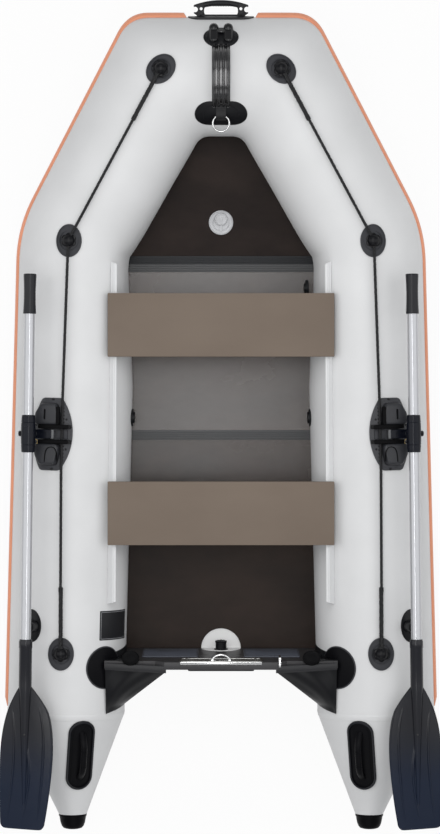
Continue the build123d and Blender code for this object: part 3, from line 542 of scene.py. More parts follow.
def round_box(half_x, half_y, radius, count=6):
    """A rectangle's outline with round corners."""
    outline = []
    for quarter, (sx, sy) in enumerate(((1, 1), (-1, 1), (-1, -1), (1, -1))):
        cx, cy = sx * (half_x - radius), sy * (half_y - radius)
        for i in range(count + 1):
            a = pi / 2 * (quarter + i / count)
            outline.append((cx + radius * cos(a), cy + radius * sin(a)))
    return outline


def slot_outline(half_x, half_y):
    """A long round-ended outline, longest along Y if half_y is the larger."""
    found = []
    for point in round_box(half_x, half_y, min(half_x, half_y), 8):
        if not found or (Vector(point) - Vector(found[-1])).length > 1e-5:
            found.append(point)
    if (Vector(found[0]) - Vector(found[-1])).length < 1e-5:
        found.pop()
    return found


def bent(first, peak, last, t):
    """A point of the curve that leaves one point towards a peak and comes from there to another."""
    return first.lerp(peak, t).lerp(peak.lerp(last, t), t)


def eased(points, steps):
    """A path from the first point to the last that rounds every corner between them."""
    path = [points[0]]
    for before, peak, after in zip(points, points[1:], points[2:]):
        path += [bent(before.lerp(peak, 0.5), peak, peak.lerp(after, 0.5), t / steps) for t in range(steps)]
    return path + [points[-1]]


def cornered(points, radius, count=5):
    """An outline with each sharp corner rounded."""
    outline = []
    for i, corner in enumerate(points):
        corner, last, following = Vector(corner), Vector(points[i - 1]), Vector(points[(i + 1) % len(points)])
        before, after = (last - corner).normalized(), (following - corner).normalized()
        if before.angle(after) > radians(160.0):
            outline.append(tuple(corner))
            continue
        reach = min(radius / tan(before.angle(after) / 2), (last - corner).length * 0.48,
                    (following - corner).length * 0.48)
        start, end = corner + before * reach, corner + after * reach
        outline += [tuple(bent(start, corner, end, j / count)) for j in range(count + 1)]
    return outline


def arc_points(first, middle, last, count):
    """Points of the arc through three points of a plane."""
    ax, ay = first
    bx, by = middle
    cx, cy = last
    d = 2 * (ax * (by - cy) + bx * (cy - ay) + cx * (ay - by))
    aa, bb, cc = ax * ax + ay * ay, bx * bx + by * by, cx * cx + cy * cy
    ux = (aa * (by - cy) + bb * (cy - ay) + cc * (ay - by)) / d
    uy = (aa * (cx - bx) + bb * (ax - cx) + cc * (bx - ax)) / d
    radius = sqrt((ax - ux) ** 2 + (ay - uy) ** 2)
    angles = [atan2(y - uy, x - ux) for x, y in (first, middle, last)]
    while angles[1] - angles[0] > pi:
        angles[1] -= 2 * pi
    while angles[1] - angles[0] < -pi:
        angles[1] += 2 * pi
    while (angles[2] - angles[1]) * (angles[1] - angles[0]) < 0:
        angles[2] += 2 * pi if angles[1] > angles[0] else -2 * pi
    turns = [angles[0] + (angles[2] - angles[0]) * i / count for i in range(count + 1)]
    return [(ux + radius * cos(turn), uy + radius * sin(turn)) for turn in turns]


def swept(name, path, section, material, side=X_DIR):
    """A section, as (across, up) pairs, carried along a path; side is the direction of across."""
    rings = []
    for i, point in enumerate(path):
        before, after = path[max(0, i - 1)], path[min(len(path) - 1, i + 1)]
        along = (after - before).normalized()
        over = side.cross(along).normalized()
        across = along.cross(over).normalized()
        rings.append([point + across * x + over * z for x, z in section])
    return grid_mesh(name, rings, material, ENDS)


# ------------------------------------------------------------------ geometry-node trees
def new_tree(name, sizes):
    """An empty geometry tree with named sizes; returns the tree and the sockets of its sizes."""
    tree = bpy.data.node_groups.new(name, "GeometryNodeTree")
    for label, kind in sizes.items():
        tree.interface.new_socket(label, in_out="INPUT", socket_type="NodeSocket" + kind)
    tree.interface.new_socket("Geometry", in_out="OUTPUT", socket_type="NodeSocketGeometry")
    return tree, tree.nodes.new("NodeGroupInput").outputs


def ended(tree, shape, material):
    """The tree with a shape as its result, made real and with its finish."""
    real = fed(tree, "GeometryNodeRealizeInstances", {"Geometry": shape})
    done = fed(tree, "GeometryNodeSetMaterial", {"Geometry": real, "Material": material})
    tree.links.new(done, tree.nodes.new("NodeGroupOutput").inputs["Geometry"])
    return tree


def grown_mesh(name, tree, **values):
    """What a geometry tree makes with these values, as a plain mesh."""
    holder = placed_object(name, bpy.data.meshes.new(name))
    modifier = holder.modifiers.new("grow", "NODES")
    modifier.node_group = tree
    for item in tree.interface.items_tree:
        if item.in_out == "INPUT":
            modifier[item.identifier] = values[item.name]
    holder.update_tag()
    return settled(holder)


def braid_tree():
    """A braided rope between two points: half of its strands wind one way and half the other."""
    tree, given = new_tree("braided_rope", {
        "Start": "Vector", "End": "Vector", "Turns": "Float", "Points": "Int", "Strands": "Int",
        "Spread": "Float", "Lift": "Float", "Thickness": "Float", "Finish": "Material"})

    def maths(operation, *values):
        return fed(tree, "ShaderNodeMath", dict(enumerate(values)), operation=operation)

    def lengthened(direction, factor):
        return fed(tree, "ShaderNodeVectorMath", {0: direction, "Scale": factor}, operation="SCALE")

    line = fed(tree, "GeometryNodeCurvePrimitiveLine", {"Start": given["Start"], "End": given["End"]})
    points = fed(tree, "GeometryNodeResampleCurve", {"Curve": line, "Count": given["Points"]})
    copies = fed(tree, "GeometryNodeDuplicateElements", {"Geometry": points, "Amount": given["Strands"]},
                 domain="SPLINE")
    index = copies.node.outputs["Duplicate Index"]
    along = fed(tree, "GeometryNodeSplineParameter", output="Factor")
    way = maths("SUBTRACT", maths("MULTIPLY", maths("MODULO", index, 2.0), 2.0), 1.0)
    phase = maths("DIVIDE", maths("MULTIPLY", index, 2 * pi), given["Strands"])
    wound = maths("MULTIPLY", along, maths("MULTIPLY", given["Turns"], 2 * pi))
    angle = maths("ADD", maths("MULTIPLY", wound, way), phase)
    crossing = maths("COSINE", maths("MULTIPLY", wound, maths("DIVIDE", given["Strands"], 2.0)))
    lift = maths("MULTIPLY", maths("MULTIPLY", crossing, way), given["Lift"])
    radius = maths("ADD", given["Spread"], lift)
    normal = fed(tree, "GeometryNodeInputNormal")
    tangent = fed(tree, "GeometryNodeInputTangent")
    aside = fed(tree, "ShaderNodeVectorMath", {0: tangent, 1: normal}, operation="CROSS_PRODUCT")
    offset = fed(tree, "ShaderNodeVectorMath", {
        0: lengthened(normal, maths("MULTIPLY", maths("COSINE", angle), radius)),
        1: lengthened(aside, maths("MULTIPLY", maths("SINE", angle), radius))}, operation="ADD")
    held = fed(tree, "GeometryNodeStoreNamedAttribute", {"Geometry": copies, "Name": "wind", "Value": offset},
               data_type="FLOAT_VECTOR", domain="POINT")
    reach = fed(tree, "GeometryNodeInputNamedAttribute", {"Name": "wind"}, "Attribute",
                data_type="FLOAT_VECTOR")
    moved = fed(tree, "GeometryNodeSetPosition", {"Geometry": held, "Offset": reach})
    ring = fed(tree, "GeometryNodeCurvePrimitiveCircle", {"Resolution": 6, "Radius": given["Thickness"]})
    skin = fed(tree, "GeometryNodeCurveToMesh", {"Curve": moved, "Profile Curve": ring, "Fill Caps": True})
    return ended(tree, skin, given["Finish"])


def row_tree():
    """Copies of a small shape along a straight line, from a first place to a last."""
    tree, given = new_tree("row_of_copies", {
        "Shape": "Object", "First": "Vector", "Last": "Vector", "Count": "Int", "Finish": "Material"})
    line = fed(tree, "GeometryNodeCurvePrimitiveLine", {"Start": given["First"], "End": given["Last"]})
    spots = fed(tree, "GeometryNodeCurveToPoints", {"Curve": line, "Count": given["Count"]}, mode="COUNT")
    shape = fed(tree, "GeometryNodeObjectInfo", {"Object": given["Shape"]}, "Geometry")
    copies = fed(tree, "GeometryNodeInstanceOnPoints", {"Points": spots, "Instance": shape})
    return ended(tree, copies, given["Finish"])


BRAID = braid_tree()
ROW = row_tree()


def row_of(name, shape_mesh, first, last, count, material):
    """A row of one shape, as a plain mesh."""
    one = placed_object(name + "_one", shape_mesh)
    made = grown_mesh(name, ROW, Shape=one, First=Vector(first), Last=Vector(last), Count=count,
                      Finish=material)
    bpy.data.objects.remove(one)
    return made


def screw_head(radius, finish=bright_steel):
    """A small domed screw head standing on its own X and Y; its cross recess is a dark cross laid on top, painted
    shade.
    """
    dome = [(1, -0.0012), (1, 0.0004)] + [(share, radius * rise) for share, rise in (
        (0.93, 0.22), (0.74, 0.4), (0.42, 0.5), (0.3, 0.52), (0.1, 0.5))]
    head = turned_shape("screw", [(radius * share, height) for share, height in dome], finish, segments=20)
    cross = [put(cut_plate("recess", round_box(radius * 0.55, radius * 0.1, radius * 0.05, 1), radius * 0.505,
                           radius * 0.56, hollow_painted_shade, 0), spin(turn, "Z")) for turn in (0, pi / 2)]
    return joined("screw_head", [head, *cross])


def screws(radius, finish, *places):
    """Screw heads of one kind at several places."""
    return [put(screw_head(radius, finish), shift(*place)) for place in places]


# ------------------------------------------------------------------ the tubes' skin
SEAM_SOFT = 0.012
SHOULDER_SOFT = (0.115, 0.05)  # outboard and inboard length of the rounding at the shoulder
BOW_SOFT = (0.07, 0.034)
ROLL_AT_BOW = radians(1.9)
PINCH = 0.029  # how far the fold on the inner side of the shoulder draws the skin outboard
PINCH_AHEAD = 0.0175  # the part of it that dies away slowly ahead of the fold
PINCH_START, PINCH_END = 0.1, 0.98  # where along the boat the skin begins and ceases to be drawn


def turned(vector, old, new):
    """The vector carried round by the smallest turn that takes one direction to another."""
    return old.rotation_difference(new).to_matrix() @ vector


def section_ring(centre, along, cut, out, over, radius, angle):
    """Where a straight line along the tube's skin meets a cutting plane through the centre."""
    offset = (out * cos(angle) + over * sin(angle)) * radius
    return centre + offset - along * (offset.dot(cut) / along.dot(cut))


def smooth_step(value, low, high):
    t = min(1.0, max(0.0, (value - low) / (high - low)))
    return t * t * (3 - 2 * t)


def pinched(point, angle):
    """The skin's inner side drawn outboard near the shoulder, where the tube is cut to turn."""
    degrees_round = angle * 180 / pi % 360
    inner = smooth_step(degrees_round, 116, 172) * (1 - smooth_step(degrees_round, 190, 224))
    fold = SHOULDER_Y - 0.045
    if point.y < fold:
        draw = PINCH * max(0.0, (point.y - PINCH_START) / (fold - PINCH_START))
    else:
        draw = (PINCH_AHEAD * max(0.0, (PINCH_END - point.y) / (PINCH_END - fold))
                + (PINCH - PINCH_AHEAD) * exp((fold - point.y) / 0.026))
    return point + X_DIR * draw * inner * smooth_step(point.x, 0.03, 0.17)


def hull_line(angle, proud=0.0):
    """One line along the starboard tube's skin: its straight stretches and its rounded corners.

    The angle goes from outboard over the top. Returns a function of the station: 0 to 1 is the cone, 1 to 2
    the stern seam, 2 to 3 the side tube, 3 to 4 the shoulder, 4 to 5 the bow's side, 5 to 6 the bow's
    corner, and 6 to 7 the bow up to the centre line.
    """
    radius = TUBE_RADIUS + proud
    shoulder_cut = (side_forward + shoulder_forward).normalized()
    bow_cut = (shoulder_forward - X_DIR).normalized()
    out_2 = turned(side_out, side_forward, shoulder_forward)
    over_2 = turned(UP, side_forward, shoulder_forward)
    out_3 = turned(out_2, shoulder_forward, -X_DIR)
    over_3 = turned(over_2, shoulder_forward, -X_DIR)
    turn = angle + ROLL_AT_BOW
    tip = tip_centre + (side_out * cos(angle) + UP * sin(angle)) * (CAP_RADIUS + proud)
    seam = section_ring(seam_centre, side_forward, side_forward, side_out, UP, radius, angle)
    shoulder = section_ring(shoulder_centre, side_forward, shoulder_cut, side_out, UP, radius, angle)
    corner = section_ring(bow_centre, shoulder_forward, bow_cut, out_2, over_2, radius, turn)
    middle = bow_middle + (out_3 * cos(turn) + over_3 * sin(turn)) * radius
    share = (1 + cos(angle)) / 2
    shoulder_reach, corner_reach = (inner + (outer - inner) * share
                                    for outer, inner in (SHOULDER_SOFT, BOW_SOFT))
    knots = [tip]
    for before, at, after, reach in ((tip, seam, shoulder, SEAM_SOFT), (seam, shoulder, corner, shoulder_reach),
                                     (shoulder, corner, middle, corner_reach)):
        knots += [at + (before - at).normalized() * reach, at, at + (after - at).normalized() * reach]
    knots.append(middle)

    def at_station(station):
        stretch = min(6, int(station))
        t = station - stretch
        first = stretch // 2 * 3
        if stretch % 2 == 0:
            return pinched(knots[first].lerp(knots[first + 1], t), angle)
        return pinched(bent(*knots[first + 1: first + 4], t), angle)

    return at_station


def stations(start, end):
    """Evenly spread stations in each stretch between two stations."""
    found = [start]
    for stretch, count in enumerate((14, 4, 46, 12, 20, 12, 10)):
        for i in range(count + 1):
            station = stretch + i / count
            if start + 1e-6 < station < end - 1e-6 and station - found[-1] > 1e-6:
                found.append(station)
    return found + [end]


def skin_rings(places, lines):
    """Rows of points at some stations, each along a list of skin lines."""
    return [[line(station) for line in lines] for station in places]


hull_round = [hull_line(angle) for angle in angles_round(96)]
starboard_tube = grid_mesh("starboard_tube_skin", skin_rings(stations(0.0, 7.0), hull_round), tube_grey, (0,))
add_piece("starboard_tube_skin", starboard_tube, "hull", "grey_pvc",
          "starboard_side_tube", "starboard_shoulder_tube", "starboard_stern_cone", "bow_tube")
add_piece("port_tube_skin", mirrored(starboard_tube, "port_tube_skin"), "hull", "grey_pvc",
          "port_side_tube", "port_shoulder_tube", "port_stern_cone")


# ------------------------------------------------------------------ rub strakes
def station_at(wanted, component, start, end):
    """The station at which the line along the strake passes a value of x or y."""
    line = hull_line(0, 0.01)
    low, high = start, end
    rising = line(end)[component] > line(start)[component]
    for _ in range(40):
        middle = (low + high) / 2
        if (line(middle)[component] < wanted) == rising:
            low = middle
        else:
            high = middle
    return (low + high) / 2


STRAKE_PROFILE = [  # height above the middle of the side, and how far proud, in metres
    (-0.03, 0.0004), (-0.0296, 0.003), (-0.027, 0.0052), (-0.02, 0.007), (-0.0125, 0.009),
    (-0.008, 0.0098), (-0.004, 0.0092), (0.0, 0.0086), (0.004, 0.0092), (0.008, 0.0098),
    (0.0125, 0.009), (0.02, 0.007), (0.027, 0.0052), (0.0296, 0.003), (0.03, 0.0004),
]
STRAKE_BACK = (0.029, 0.0, -0.029)
strake_from = station_at(SEAM_Y + 0.022, 1, 2.0, 2.4)
strake_to = station_at(0.12, 0, 6.0, 7.0)
strake_rings = []
for station in stations(strake_from, strake_to):
    ends = min((station - strake_from) / 0.012, (strake_to - station) / 0.02, 1.0)
    ends = sqrt(max(0.0, 1 - (1 - ends) ** 2))
    swell = 1 + 0.55 * smooth_step(station, 5.0, 6.2)
    outer = [hull_line(height / TUBE_RADIUS, 0.0002 + proud * swell * (0.25 + 0.75 * ends))
             for height, proud in STRAKE_PROFILE]
    back = [hull_line(height / TUBE_RADIUS, -0.002) for height in STRAKE_BACK]
    strake_rings += skin_rings([station], outer + back)
starboard_strake = grid_mesh("starboard_strake", strake_rings, strake_orange, ENDS)
add_piece("starboard_strake", starboard_strake, "hull", "orange_strake", "starboard_rub_strake")
add_piece("port_strake", mirrored(starboard_strake, "port_strake"), "hull", "orange_strake", "port_rub_strake")

# ------------------------------------------------------------------ lifeline holders and lifelines
HOLDER_HALF = (0.0435, 0.055)
HOLDER_LIP = 0.0045
HOLDER_SLICE = 0.007
ROPE_HEIGHT = 0.014
DOME = [(0.0205, 0.006)]
DOME += [(0.0205 * cos(radians(10.0 * i)), 0.011 + 0.0185 * sin(radians(10.0 * i))) for i in range(9)]
RIM = [(0.0345, 0.002), (0.034, 0.0052), (0.0325, 0.006), (0.031, 0.0052), (0.0305, 0.002)]
FLOWER = [(0.0265, -0.005), (0.0265, 0.006), (0.0255, 0.008), (0.0225, 0.009), (0.018, 0.0092)]


def six_lobes(_, angle):
    return 1 - 0.16 * (0.5 + 0.5 * cos(6 * angle)) ** 2


def holder_shape(place, turn=0.0):
    """A lifeline holder on the tube: an oval plate, a low rim and a lobed knob with a domed middle."""
    outer = oval_outline(*HOLDER_HALF)
    inner = oval_outline(*(half - HOLDER_LIP for half in HOLDER_HALF))
    plate = joined("plate", [
        cut_plate("foot", outer, -0.005, 0.0034, fitting_grey, 0),
        carved(cut_plate("lip", outer, 0.003, 0.0054, fitting_grey, 0.0009),
               cut_plate("well", inner, 0.002, 0.008, fitting_grey, 0))])
    plate.transform(spin(turn, "Z"))
    plate = draped_on(sliced(sliced(plate, 0, HOLDER_SLICE), 1, HOLDER_SLICE), place, starboard_tube)
    rim = turned_shape("rim", RIM, fitting_grey)
    flower = turned_shape("flower", FLOWER, knob_black, segments=70, lobes=six_lobes)
    return put(joined("holder", [plate, rim, flower, turned_shape("dome", DOME, knob_black)]), place)


bow_holder = bow_place(BOW_HALF + 0.008, asin(0.028 / TUBE_RADIUS))
fore_holder = side_place(SHOULDER_Y - 0.006, radians(5.2))
aft_holder = side_place(SEAM_Y + 0.216, radians(2.8))
holders = [holder_shape(bow_holder, radians(45.0)), holder_shape(fore_holder), holder_shape(aft_holder)]
both_sides("lifeline_holder_knobs", joined("holders", holders), "hull", "black_plastic", "lifeline_holders",
           smooth_angle=32.0)

KNOB_INSIDE = 0.016  # how far from a knob's middle the rope's skin begins
WHIPPED = (0.192, 0.223)  # spliced-back length of rope from the bow holder and from the aft holder
WHIPPING = 0.014
ROPE_LAY = 0.044  # rope's length for one turn of its strands
SPLICE_LAY = 0.054
STRANDS = 6
ROPE = (0.0032, 0.0009, 0.0019)  # how far the strands lie from the middle, weave in and out, and their radius
SPLICE = (0.0048, 0.0012, 0.0026)
ROWLOCK_Y = -0.062
ROWLOCK_ROLL = radians(16.0)
rowlock_place = side_place(ROWLOCK_Y, ROWLOCK_ROLL)
GUIDES = (Vector((-0.0365, 0.118, 0.015)), Vector((-0.0375, -0.118, 0.015)))  # where it runs over the rowlock
knots = [place @ Vector((0, 0, ROPE_HEIGHT)) for place in (bow_holder, fore_holder, aft_holder)]
fore_guide, aft_guide = (rowlock_place @ guide for guide in GUIDES)


def rope(start, end, size, heart, lay):
    """A straight braided rope, with a round heart that closes the gaps between its strands."""
    turns = (end - start).length / lay
    spread, lift, thickness = size
    braid = grown_mesh("rope", BRAID, Start=start, End=end, Turns=turns, Points=int(turns * 8) + 2,
                       Strands=STRANDS, Spread=spread, Lift=lift, Thickness=thickness, Finish=rope_black)
    along = (end - start).normalized()
    aside = along.orthogonal().normalized()
    place = frame_of(start, aside, along.cross(aside), along)
    return [braid, turned_shape("heart", [(heart, 0), (heart, (end - start).length)], rope_black, place, 12)]


def torus(name, radius, wire, material, place, segments, sides):
    """A round ring of wire in its own X and Y."""
    section = [(radius + wire * cos(angle), wire * sin(angle)) for angle in angles_round(sides)]
    rings = [[Vector((reach * cos(turn), reach * sin(turn), height)) for reach, height in section]
             for turn in angles_round(segments)]
    return put(grid_mesh(name, rings, material, looped=True), place)


rope_meshes = []
for start, end, cut_start, cut_end in (
        (knots[0], knots[1], KNOB_INSIDE, KNOB_INSIDE), (knots[1], fore_guide, KNOB_INSIDE, 0.0),
        (fore_guide, aft_guide, 0.0, 0.0), (aft_guide, knots[2], 0.0, KNOB_INSIDE)):
    along = (end - start).normalized()
    rope_meshes += rope(start + along * cut_start, end - along * cut_end, ROPE, 0.0028, ROPE_LAY)
for knot, other, length in ((knots[0], knots[1], WHIPPED[0]), (knots[2], aft_guide, WHIPPED[1])):
    along = (other - knot).normalized()
    rope_meshes += rope(knot + along * KNOB_INSIDE, knot + along * length, SPLICE, 0.0046, SPLICE_LAY)
    aside = along.orthogonal().normalized()
    twine_place = frame_of(Vector(), aside, along.cross(aside), along)
    twine = torus("twine", 0.0071, 0.0008, rope_black, twine_place, 20, 6)
    whip_from = knot + along * (length - WHIPPING)
    rope_meshes.append(row_of("whipping", twine, whip_from, whip_from + along * WHIPPING, 9, rope_black))
both_sides("lifeline_ropes", joined("ropes", rope_meshes), "hull", "rope", "lifelines", smooth_angle=60.0)

# ------------------------------------------------------------------ bow handle
TUBE_FRONT = BOW_RUN + TUBE_RADIUS
HANDLE_HALF = 0.092
HANDLE_ROOT_HALF = 0.08
HANDLE_EAR = (0.0335, 0.0405)
HANDLE_SLOT = (0.057, 0.0155)  # half width and half depth
HANDLE_BAR = 0.02
HOLE_X = 0.067
RIB_HALF_ROW = 0.034
bow_frame = frame_of(shoulder_middle, X_DIR, BOW_FORWARD, BOW_UP)

nose = arc_points((-HANDLE_HALF, TUBE_FRONT + HANDLE_EAR[1]), (0, TUBE_FRONT + HANDLE_REACH),
                  (HANDLE_HALF, TUBE_FRONT + HANDLE_EAR[1]), 28)
notch_right = arc_points((HANDLE_HALF, TUBE_FRONT + HANDLE_EAR[0]),
                         (HANDLE_ROOT_HALF - 0.002, TUBE_FRONT + 0.0255),
                         (HANDLE_HALF - 0.001, TUBE_FRONT + 0.017), 8)
notch_right += [(HANDLE_HALF, TUBE_FRONT + 0.013), (HANDLE_HALF - 0.01, TUBE_FRONT + 0.006)]
notch_left = [(-x, y) for x, y in reversed(notch_right)]
handle_outline = [*nose, *notch_right, (HANDLE_HALF - 0.01, TUBE_FRONT - 0.016),
                  (-HANDLE_HALF + 0.01, TUBE_FRONT - 0.016), *notch_left]
slot_middle = TUBE_FRONT + HANDLE_REACH - HANDLE_BAR - HANDLE_SLOT[1] - 0.0005
slot_cut = put(cut_plate("slot", round_box(*HANDLE_SLOT, 0.012), -0.03, 0.03, fitting_black, 0),
               shift(0, slot_middle))
hole_cuts = [put(turned_shape("hole", [(0.005, -0.03), (0.005, 0.03)], fitting_black, segments=20),
                 shift(side * HOLE_X, TUBE_FRONT + 0.028)) for side in (-1, 1)]
handle_plate = cut_plate("handle", handle_outline, -0.006, 0.006, fitting_black, 0)
handle_body = rounded(carved(handle_plate, slot_cut, *hole_cuts), 0.0022, 3, 40.0)
bar_path = [Vector((x, y - HANDLE_BAR / 2 + 0.0005, 0)) for x, y in nose if abs(x) < 0.064]
bar_grip = swept("bar_grip", bar_path, oval_outline(0.0092, 0.0085, 20), fitting_black, side=-Y_DIR)
rib = turned_shape("rib", [(0.0088, -0.0012), (0.0096, -0.0006), (0.0096, 0.0006), (0.0088, 0.0012)],
                   fitting_black, spin(pi / 2, "Y"), 20)
rib_y = TUBE_FRONT + HANDLE_REACH - HANDLE_BAR / 2 - 0.0022
bar_ribs = row_of("bar_ribs", rib, (-RIB_HALF_ROW, rib_y, 0), (RIB_HALF_ROW, rib_y, 0), 9, fitting_black)
handle_foot = cut_plate("foot", slot_outline(0.111, 0.041), -0.004, 0.0038, fitting_black, 0.0012)
root_web = cut_plate("web", round_box(0.072, 0.014, 0.008), -0.002, 0.009, fitting_black, 0.0025)
add_piece("bow_handle_grip", joined("bow_handle_grip", [
    put(joined("bar", [handle_body, bar_grip, bar_ribs]), bow_frame),
    put(wrapped(handle_foot, along_y=True), bow_place(0, radians(84.0))),
    put(root_web, bow_place(0, pi / 2))]), "hull", "black_plastic", "bow_handle")

# ------------------------------------------------------------------ fairlead
CHEEK_X = 0.024
FRONT_KNOB = [(0.0152, -0.002), (0.016, 0.012), (0.0154, 0.0175), (0.0134, 0.022), (0.0096, 0.025),
              (0.005, 0.0262), (0.0015, 0.0264)]
ROLLER = [(0.0065, -0.012), (0.0058, -0.007), (0.0054, 0), (0.0058, 0.007), (0.0065, 0.012)]
fairlead_parts = [wrapped(cut_plate("plate", oval_outline(0.0585, 0.043), -0.004, 0.004, fitting_black, 0.0014),
                          along_y=True)]
for side in (-1, 1):
    cheek = cut_plate("cheek", slot_outline(0.014, 0.036), -0.002, 0.018, glossy_black, 0.006, 5)
    knob = turned_shape("front_knob", FRONT_KNOB, glossy_black, segments=36)
    lip = cut_plate("lip", slot_outline(0.0175, 0.0385), 0.002, 0.0065, fitting_black, 0.0016)
    fairlead_parts += [put(mesh, shift(side * CHEEK_X, y))
                       for mesh, y in ((cheek, 0.007), (knob, 0.029), (lip, 0.004))]
roller_place = shift(0, 0.017, 0.009) @ spin(pi / 2, "Y")
fairlead_parts.append(turned_shape("roller", ROLLER, glossy_black, roller_place, 28))
fairlead_parts += screws(0.0042, fitting_black, *(
    (x, y, 0.003 - y * y / 2 / TUBE_RADIUS) for x, y in ((-0.047, 0.0), (0.047, 0.0), (0.0, -0.032))))
add_piece("fairlead_body", put(joined("fairlead", fairlead_parts), bow_place(0, radians(41.0))), "hull",
          "black_plastic", "bow_fairlead", smooth_angle=30.0)

# ------------------------------------------------------------------ grab handle over the bow
GRAB_ROLLS = (radians(-26.0), radians(28.0))
GRAB_RISE = 0.048
GRAB_THICKNESS = 0.01
GRAB_RIBS = (-0.0225, -0.008, 0.008, 0.0225)


def off_bow(roll, height):
    return ((TUBE_RADIUS + height) * sin(roll), (TUBE_RADIUS + height) * cos(roll))


grab_arc = arc_points(off_bow(GRAB_ROLLS[0], 0.002), off_bow(radians(2.0), GRAB_RISE - GRAB_THICKNESS),
                      off_bow(GRAB_ROLLS[1], 0.002), 44)
rear_tab = [off_bow(GRAB_ROLLS[0] - radians(step), -0.002) for step in (3.0, 1.5)]
front_tab = [off_bow(GRAB_ROLLS[1] + radians(step), -0.002) for step in (1.5, 3.0)]
grab_path = [bow_middle + BOW_FORWARD * u + BOW_UP * w for u, w in [*rear_tab, *grab_arc, *front_tab]]
grab_section = [(-0.03, 0.0), (-0.03, 0.0048), (-0.0288, 0.006)]
for rib_x in GRAB_RIBS:
    turns = [pi * (1 - step / 8) for step in range(9)]
    grab_section += [(rib_x + 0.0044 * cos(turn), 0.006 + 0.004 * sin(turn)) for turn in turns]
grab_section += [(0.0288, 0.006), (0.03, 0.0048), (0.03, 0.0)]
add_piece("grab_handle_band", swept("grab_band", grab_path, grab_section, band_black), "hull", "black_plastic",
          "bow_grab_handle", smooth_angle=50.0)

# ------------------------------------------------------------------ tow patch, its loop and stitches
TOW_SLICE = 0.007
RING_SHIFT = 0.021
STITCH_HALF_ROW = 0.0145
tow_patch = cut_plate("patch", slot_outline(0.088, 0.05), -0.003, 0.0022, patch_black, 0.0008)
tow_layer = cut_plate("layer", slot_outline(0.06, 0.034), 0.0016, 0.0036, patch_black, 0.0008)
loop_path = [Vector((0, y + RING_SHIFT, z)) for y, z in (
    (-0.044, 0.0024), (-0.04, 0.0034), (-0.033, 0.004), (-0.029, 0.0068), (-0.0255, 0.0108),
    (-0.0205, 0.0132), (-0.0155, 0.013), (-0.011, 0.0104), (-0.0075, 0.0066), (-0.003, 0.0044),
    (0.006, 0.004), (0.02, 0.0024),
)]
strap_section = [(-0.0165, 0.0), (-0.0165, 0.0018), (-0.0155, 0.0024), (0.0155, 0.0024), (0.0165, 0.0018),
                 (0.0165, 0.0)]
stitch = cut_plate("stitch", round_box(0.0012, 0.0004, 0.0003, 2), 0.0, 0.0006, thread_grey, 0)
stitch_rows = [row_of("stitches", stitch, (-STITCH_HALF_ROW, y, z), (STITCH_HALF_ROW, y, z), 9, thread_grey)
               for y, z in ((0.024, 0.0062), (0.032, 0.0058))]
tow_meshes = [wrapped(layer, TOW_SLICE, along_y=True) for layer in (tow_patch, tow_layer)]
tow_meshes.append(swept("tow_loop", loop_path, strap_section, webbing_black))
add_piece("tow_patch_and_loop", put(joined("tow", tow_meshes + stitch_rows), bow_place(0, radians(-37.5))),
          "hull", "black_pvc", "tow_patch")

# ------------------------------------------------------------------ data plate, left blank
DATA_PLATE_Y = -0.702
data_back = cut_plate("plate", round_box(0.072, 0.0495, 0.003), -0.001, 0.0009, label_black, 0.0004)
data_frame = carved(cut_plate("border", round_box(0.0675, 0.0455, 0.003), 0.0005, 0.0012, label_line, 0),
                    cut_plate("inside", round_box(0.0662, 0.0442, 0.002), 0.0, 0.003, label_line, 0))
data_plate = put(joined("plate", [wrapped(data_back), wrapped(data_frame)]),
                 side_place(DATA_PLATE_Y, radians(-56.0)))
add_piece("data_plate", mirrored(data_plate, "data_plate"), "hull", "black_pvc")

# ------------------------------------------------------------------ rowlock bases
ROWLOCK_HALF = 0.1215
CHANNEL_HALF = 0.016
HINGE = (-0.004, 0, 0.019)
SWING_OFFSET = 0.0615
SHAFT_HEIGHT = 0.072
HUMP_STEPS = [(-0.012, 0.0), (0.008, 0.0012), (0.02, 0.0035), (0.025, 0.0052), (0.028, 0.0072), (0.0295, 0.01),
              (0.03, 0.0135)]


def lofted_block(name, outline, steps, material):
    """A block that narrows upwards: steps are (height, inset) pairs from its foot to its top."""
    centre_x = sum(x for x, _ in outline) / len(outline)
    centre_y = sum(y for _, y in outline) / len(outline)
    reach_x = max(abs(x - centre_x) for x, _ in outline)
    reach_y = max(abs(y - centre_y) for _, y in outline)
    rings = [[Vector((centre_x + (x - centre_x) * (1 - inset / reach_x),
                      centre_y + (y - centre_y) * (1 - inset / reach_y), height)) for x, y in outline]
             for height, inset in steps]
    return grid_mesh(name, rings, material, ENDS)


def base_side(reach, y_end, fore_x):
    """The rowlock plate's outline: flat ends and bulging sides."""
    share = reach / 0.067
    inboard = arc_points((-0.033 * share, y_end - 0.004), (-reach, 0.0), (-0.028 * share, 0.004 - y_end), 18)
    outboard = arc_points((0.046 * share, 0.004 - y_end), (fore_x, -0.02), (0.04 * share, y_end - 0.004), 18)
    return cornered([(-0.025 * share, y_end), *inboard, (-0.02 * share, -y_end), (0.038 * share, -y_end),
                     *outboard, (0.032 * share, y_end)], 0.02, 6)


